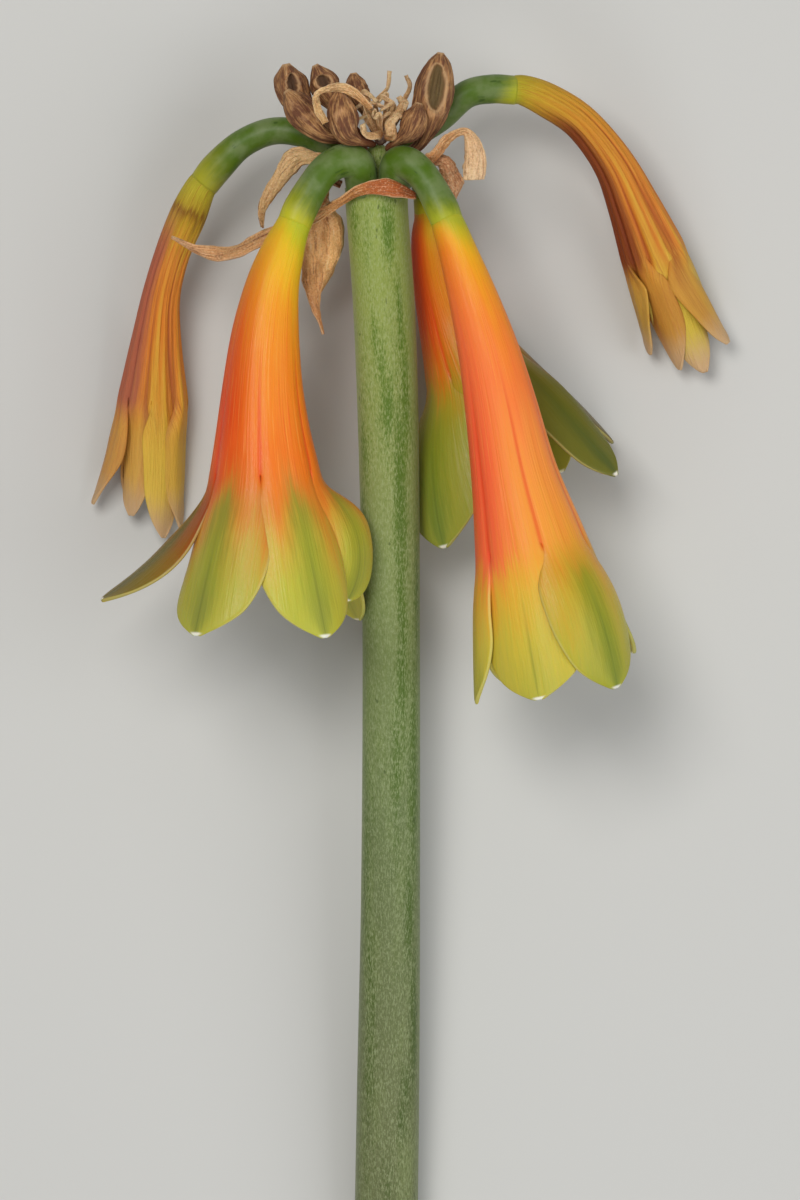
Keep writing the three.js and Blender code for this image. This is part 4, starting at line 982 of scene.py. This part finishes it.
TUFT = [(0.4, 8.1, 0.4, 1.0), (0.6, 9.6, 1.4, 1.5), (1.0, 11.2, 2.2, 1.2)]
BRACTLETS = [
    [(0.6, 9.4, 1.8, 0.9, 0), (-1.6, 12.6, 3.4, 1, 40), (-1, 14.8, 4, 0.8, 80),
     (1.8, 13.6, 4.6, 0.5, 60)],
    [(0.6, 9.4, 1.8, 0.9, 20), (1.6, 12, 3.6, 1.1, 0), (2.2, 14.6, 3.8, 0.9, -30),
     (0.4, 16.2, 3.6, 0.4, -60)],
    [(0.9, 9.6, 1.8, 0.8, -20), (3, 12.6, 1.4, 1, -60), (4.4, 14.4, 2.4, 0.8, -20),
     (3.6, 16, 2.8, 0.4, 0)],
    [(0.6, 9.2, 2, 0.9, 0), (0.2, 9.4, 4.8, 0.8, 30), (-2, 9.6, 6.6, 0.8, 50),
     (-2.6, 11.4, 7.2, 0.5, 30)],
    [(1.0, 9.4, 2.0, 0.8, 0), (2.4, 9.2, 5.6, 1.0, 20), (2.2, 11.4, 6.6, 0.9, 0),
     (3.4, 12.8, 7.2, 0.4, 0)],
    [(0.6, 10.4, 1.8, 0.5, 0), (-0.4, 14.6, 0.8, 0.4, 20), (1.6, 17.4, 0.8, 0.35, 40),
     (2, 20.4, 0.6, 0.35, 0)],
    [(1, 10.4, 1.6, 0.5, 0), (3.6, 14, 0.2, 0.4, 0), (5.5, 17.4, -0.8, 0.35, 20),
     (4.9, 19.6, -0.6, 0.35, 0)],
]
SMALL_BRACTLETS = 13
BRACTLET_CURL = 40
BRACTLET_CRUMPLE = 0.25
BRACTLET_THICK = 0.3
rng = random.Random(4)
for _ in range(SMALL_BRACTLETS):
    turn = math.radians(rng.uniform(-75, 75))
    high, wide = rng.uniform(3, 7.5), rng.uniform(0.35, 0.75)
    lean = math.sin(turn) * high * 0.8
    near = rng.uniform(0.4, 4.6)
    curl = rng.uniform(-2.6, 2.6)
    BRACTLETS.append([
        (0.7 + lean * 0.1, 9.0, 1.9, wide, rng.uniform(-40, 40)),
        (0.7 + lean * 0.6, 9.2 + high * 0.5, 2.2 + near * 0.6, wide, rng.uniform(-60, 60)),
        (0.7 + lean, 9.4 + high, 2.4 + near, wide * 0.9, rng.uniform(-80, 80)),
        (0.7 + lean + curl, 9.4 + high * 0.8, 3.4 + near, wide * 0.5, rng.uniform(-80, 80)),
    ])
bm = bmesh.new()
for seed, points in enumerate(BRACTLETS):
    ribbon_skin(points, BRACTLET_CURL, 48, 6, seed * 5, BRACTLET_CRUMPLE, bm)
straw = paper_material("bractlet, dry straw", [(0, "a8703c"), (0.4, "d4a46c"), (1, "e8c490")],
                       "8c5c34", 3)
piece("bractlet_ribbons", bm, [straw], ["bractlets"], thickness=BRACTLET_THICK)
tuft = round_skin(TUFT, 24, 24, pod_shape(None, 2), ["sunk"])
piece("bractlet_tuft", tuft, [pod_material("tuft, withered", "b89a88", "8a6a62", "6a5048", 2)],
      ["bractlets"])

# Floor, light and camera
# The stem lies on its back on a plain pale floor. The camera looks straight down on it.

bm = bmesh.new()
bmesh.ops.create_grid(bm, x_segments=1, y_segments=1, size=3)
floor_mesh = bpy.data.meshes.new("floor")
bm.to_mesh(floor_mesh)
bm.free()
floor = bpy.data.objects.new("floor", floor_mesh)
bpy.context.scene.collection.objects.link(floor)
s = Shader("floor, pale")
floor_mesh.materials.append(s.done(Base_Color=tone("c9c9c6"), Roughness=0.9))


def soft_light(name, place, size, power, colour):
    light = bpy.data.lights.new(name, "AREA")
    light.shape = "RECTANGLE"
    light.size, light.size_y = size
    light.energy = power
    light.color = colour
    obj = bpy.data.objects.new(name, light)
    obj.location = place
    obj.rotation_euler = (Vector(AIM) - Vector(place)).to_track_quat("-Z", "Y").to_euler()
    bpy.context.scene.collection.objects.link(obj)


AIM = (0, 0.03, 0)
WORLD_LIGHT = 0.22
# Place, width and height, power, colour
soft_light("key", (-0.22, 0.3, 0.85), (0.4, 0.4), 4.6, (1, 0.98, 0.95))
soft_light("fill", (0.6, 0.0, 0.6), (0.5, 0.7), 2.4, (0.96, 0.98, 1))
soft_light("low", (0.0, -0.6, 0.5), (0.7, 0.4), 1.6, (1, 1, 1))

world = bpy.data.worlds.new("studio")
world.use_nodes = True
world.node_tree.nodes["Background"].inputs["Color"].default_value = (1, 1, 1, 1)
world.node_tree.nodes["Background"].inputs["Strength"].default_value = WORLD_LIGHT
bpy.context.scene.world = world
bpy.context.scene.view_settings.view_transform = "Standard"

# The frame's height and middle at the height of the blooms, in metres
FRAME_HIGH = 0.2088
FRAME_MIDDLE = (-0.00186, 0.0124)
BLOOM_HEIGHT = 0.025
camera_data = bpy.data.cameras.new("camera")
camera_data.lens = 200
camera_data.sensor_width = 36
camera = bpy.data.objects.new("camera", camera_data)
reach = FRAME_HIGH / camera_data.sensor_width * camera_data.lens
camera.location = (*FRAME_MIDDLE, BLOOM_HEIGHT + reach)
bpy.context.scene.collection.objects.link(camera)
bpy.context.scene.camera = camera
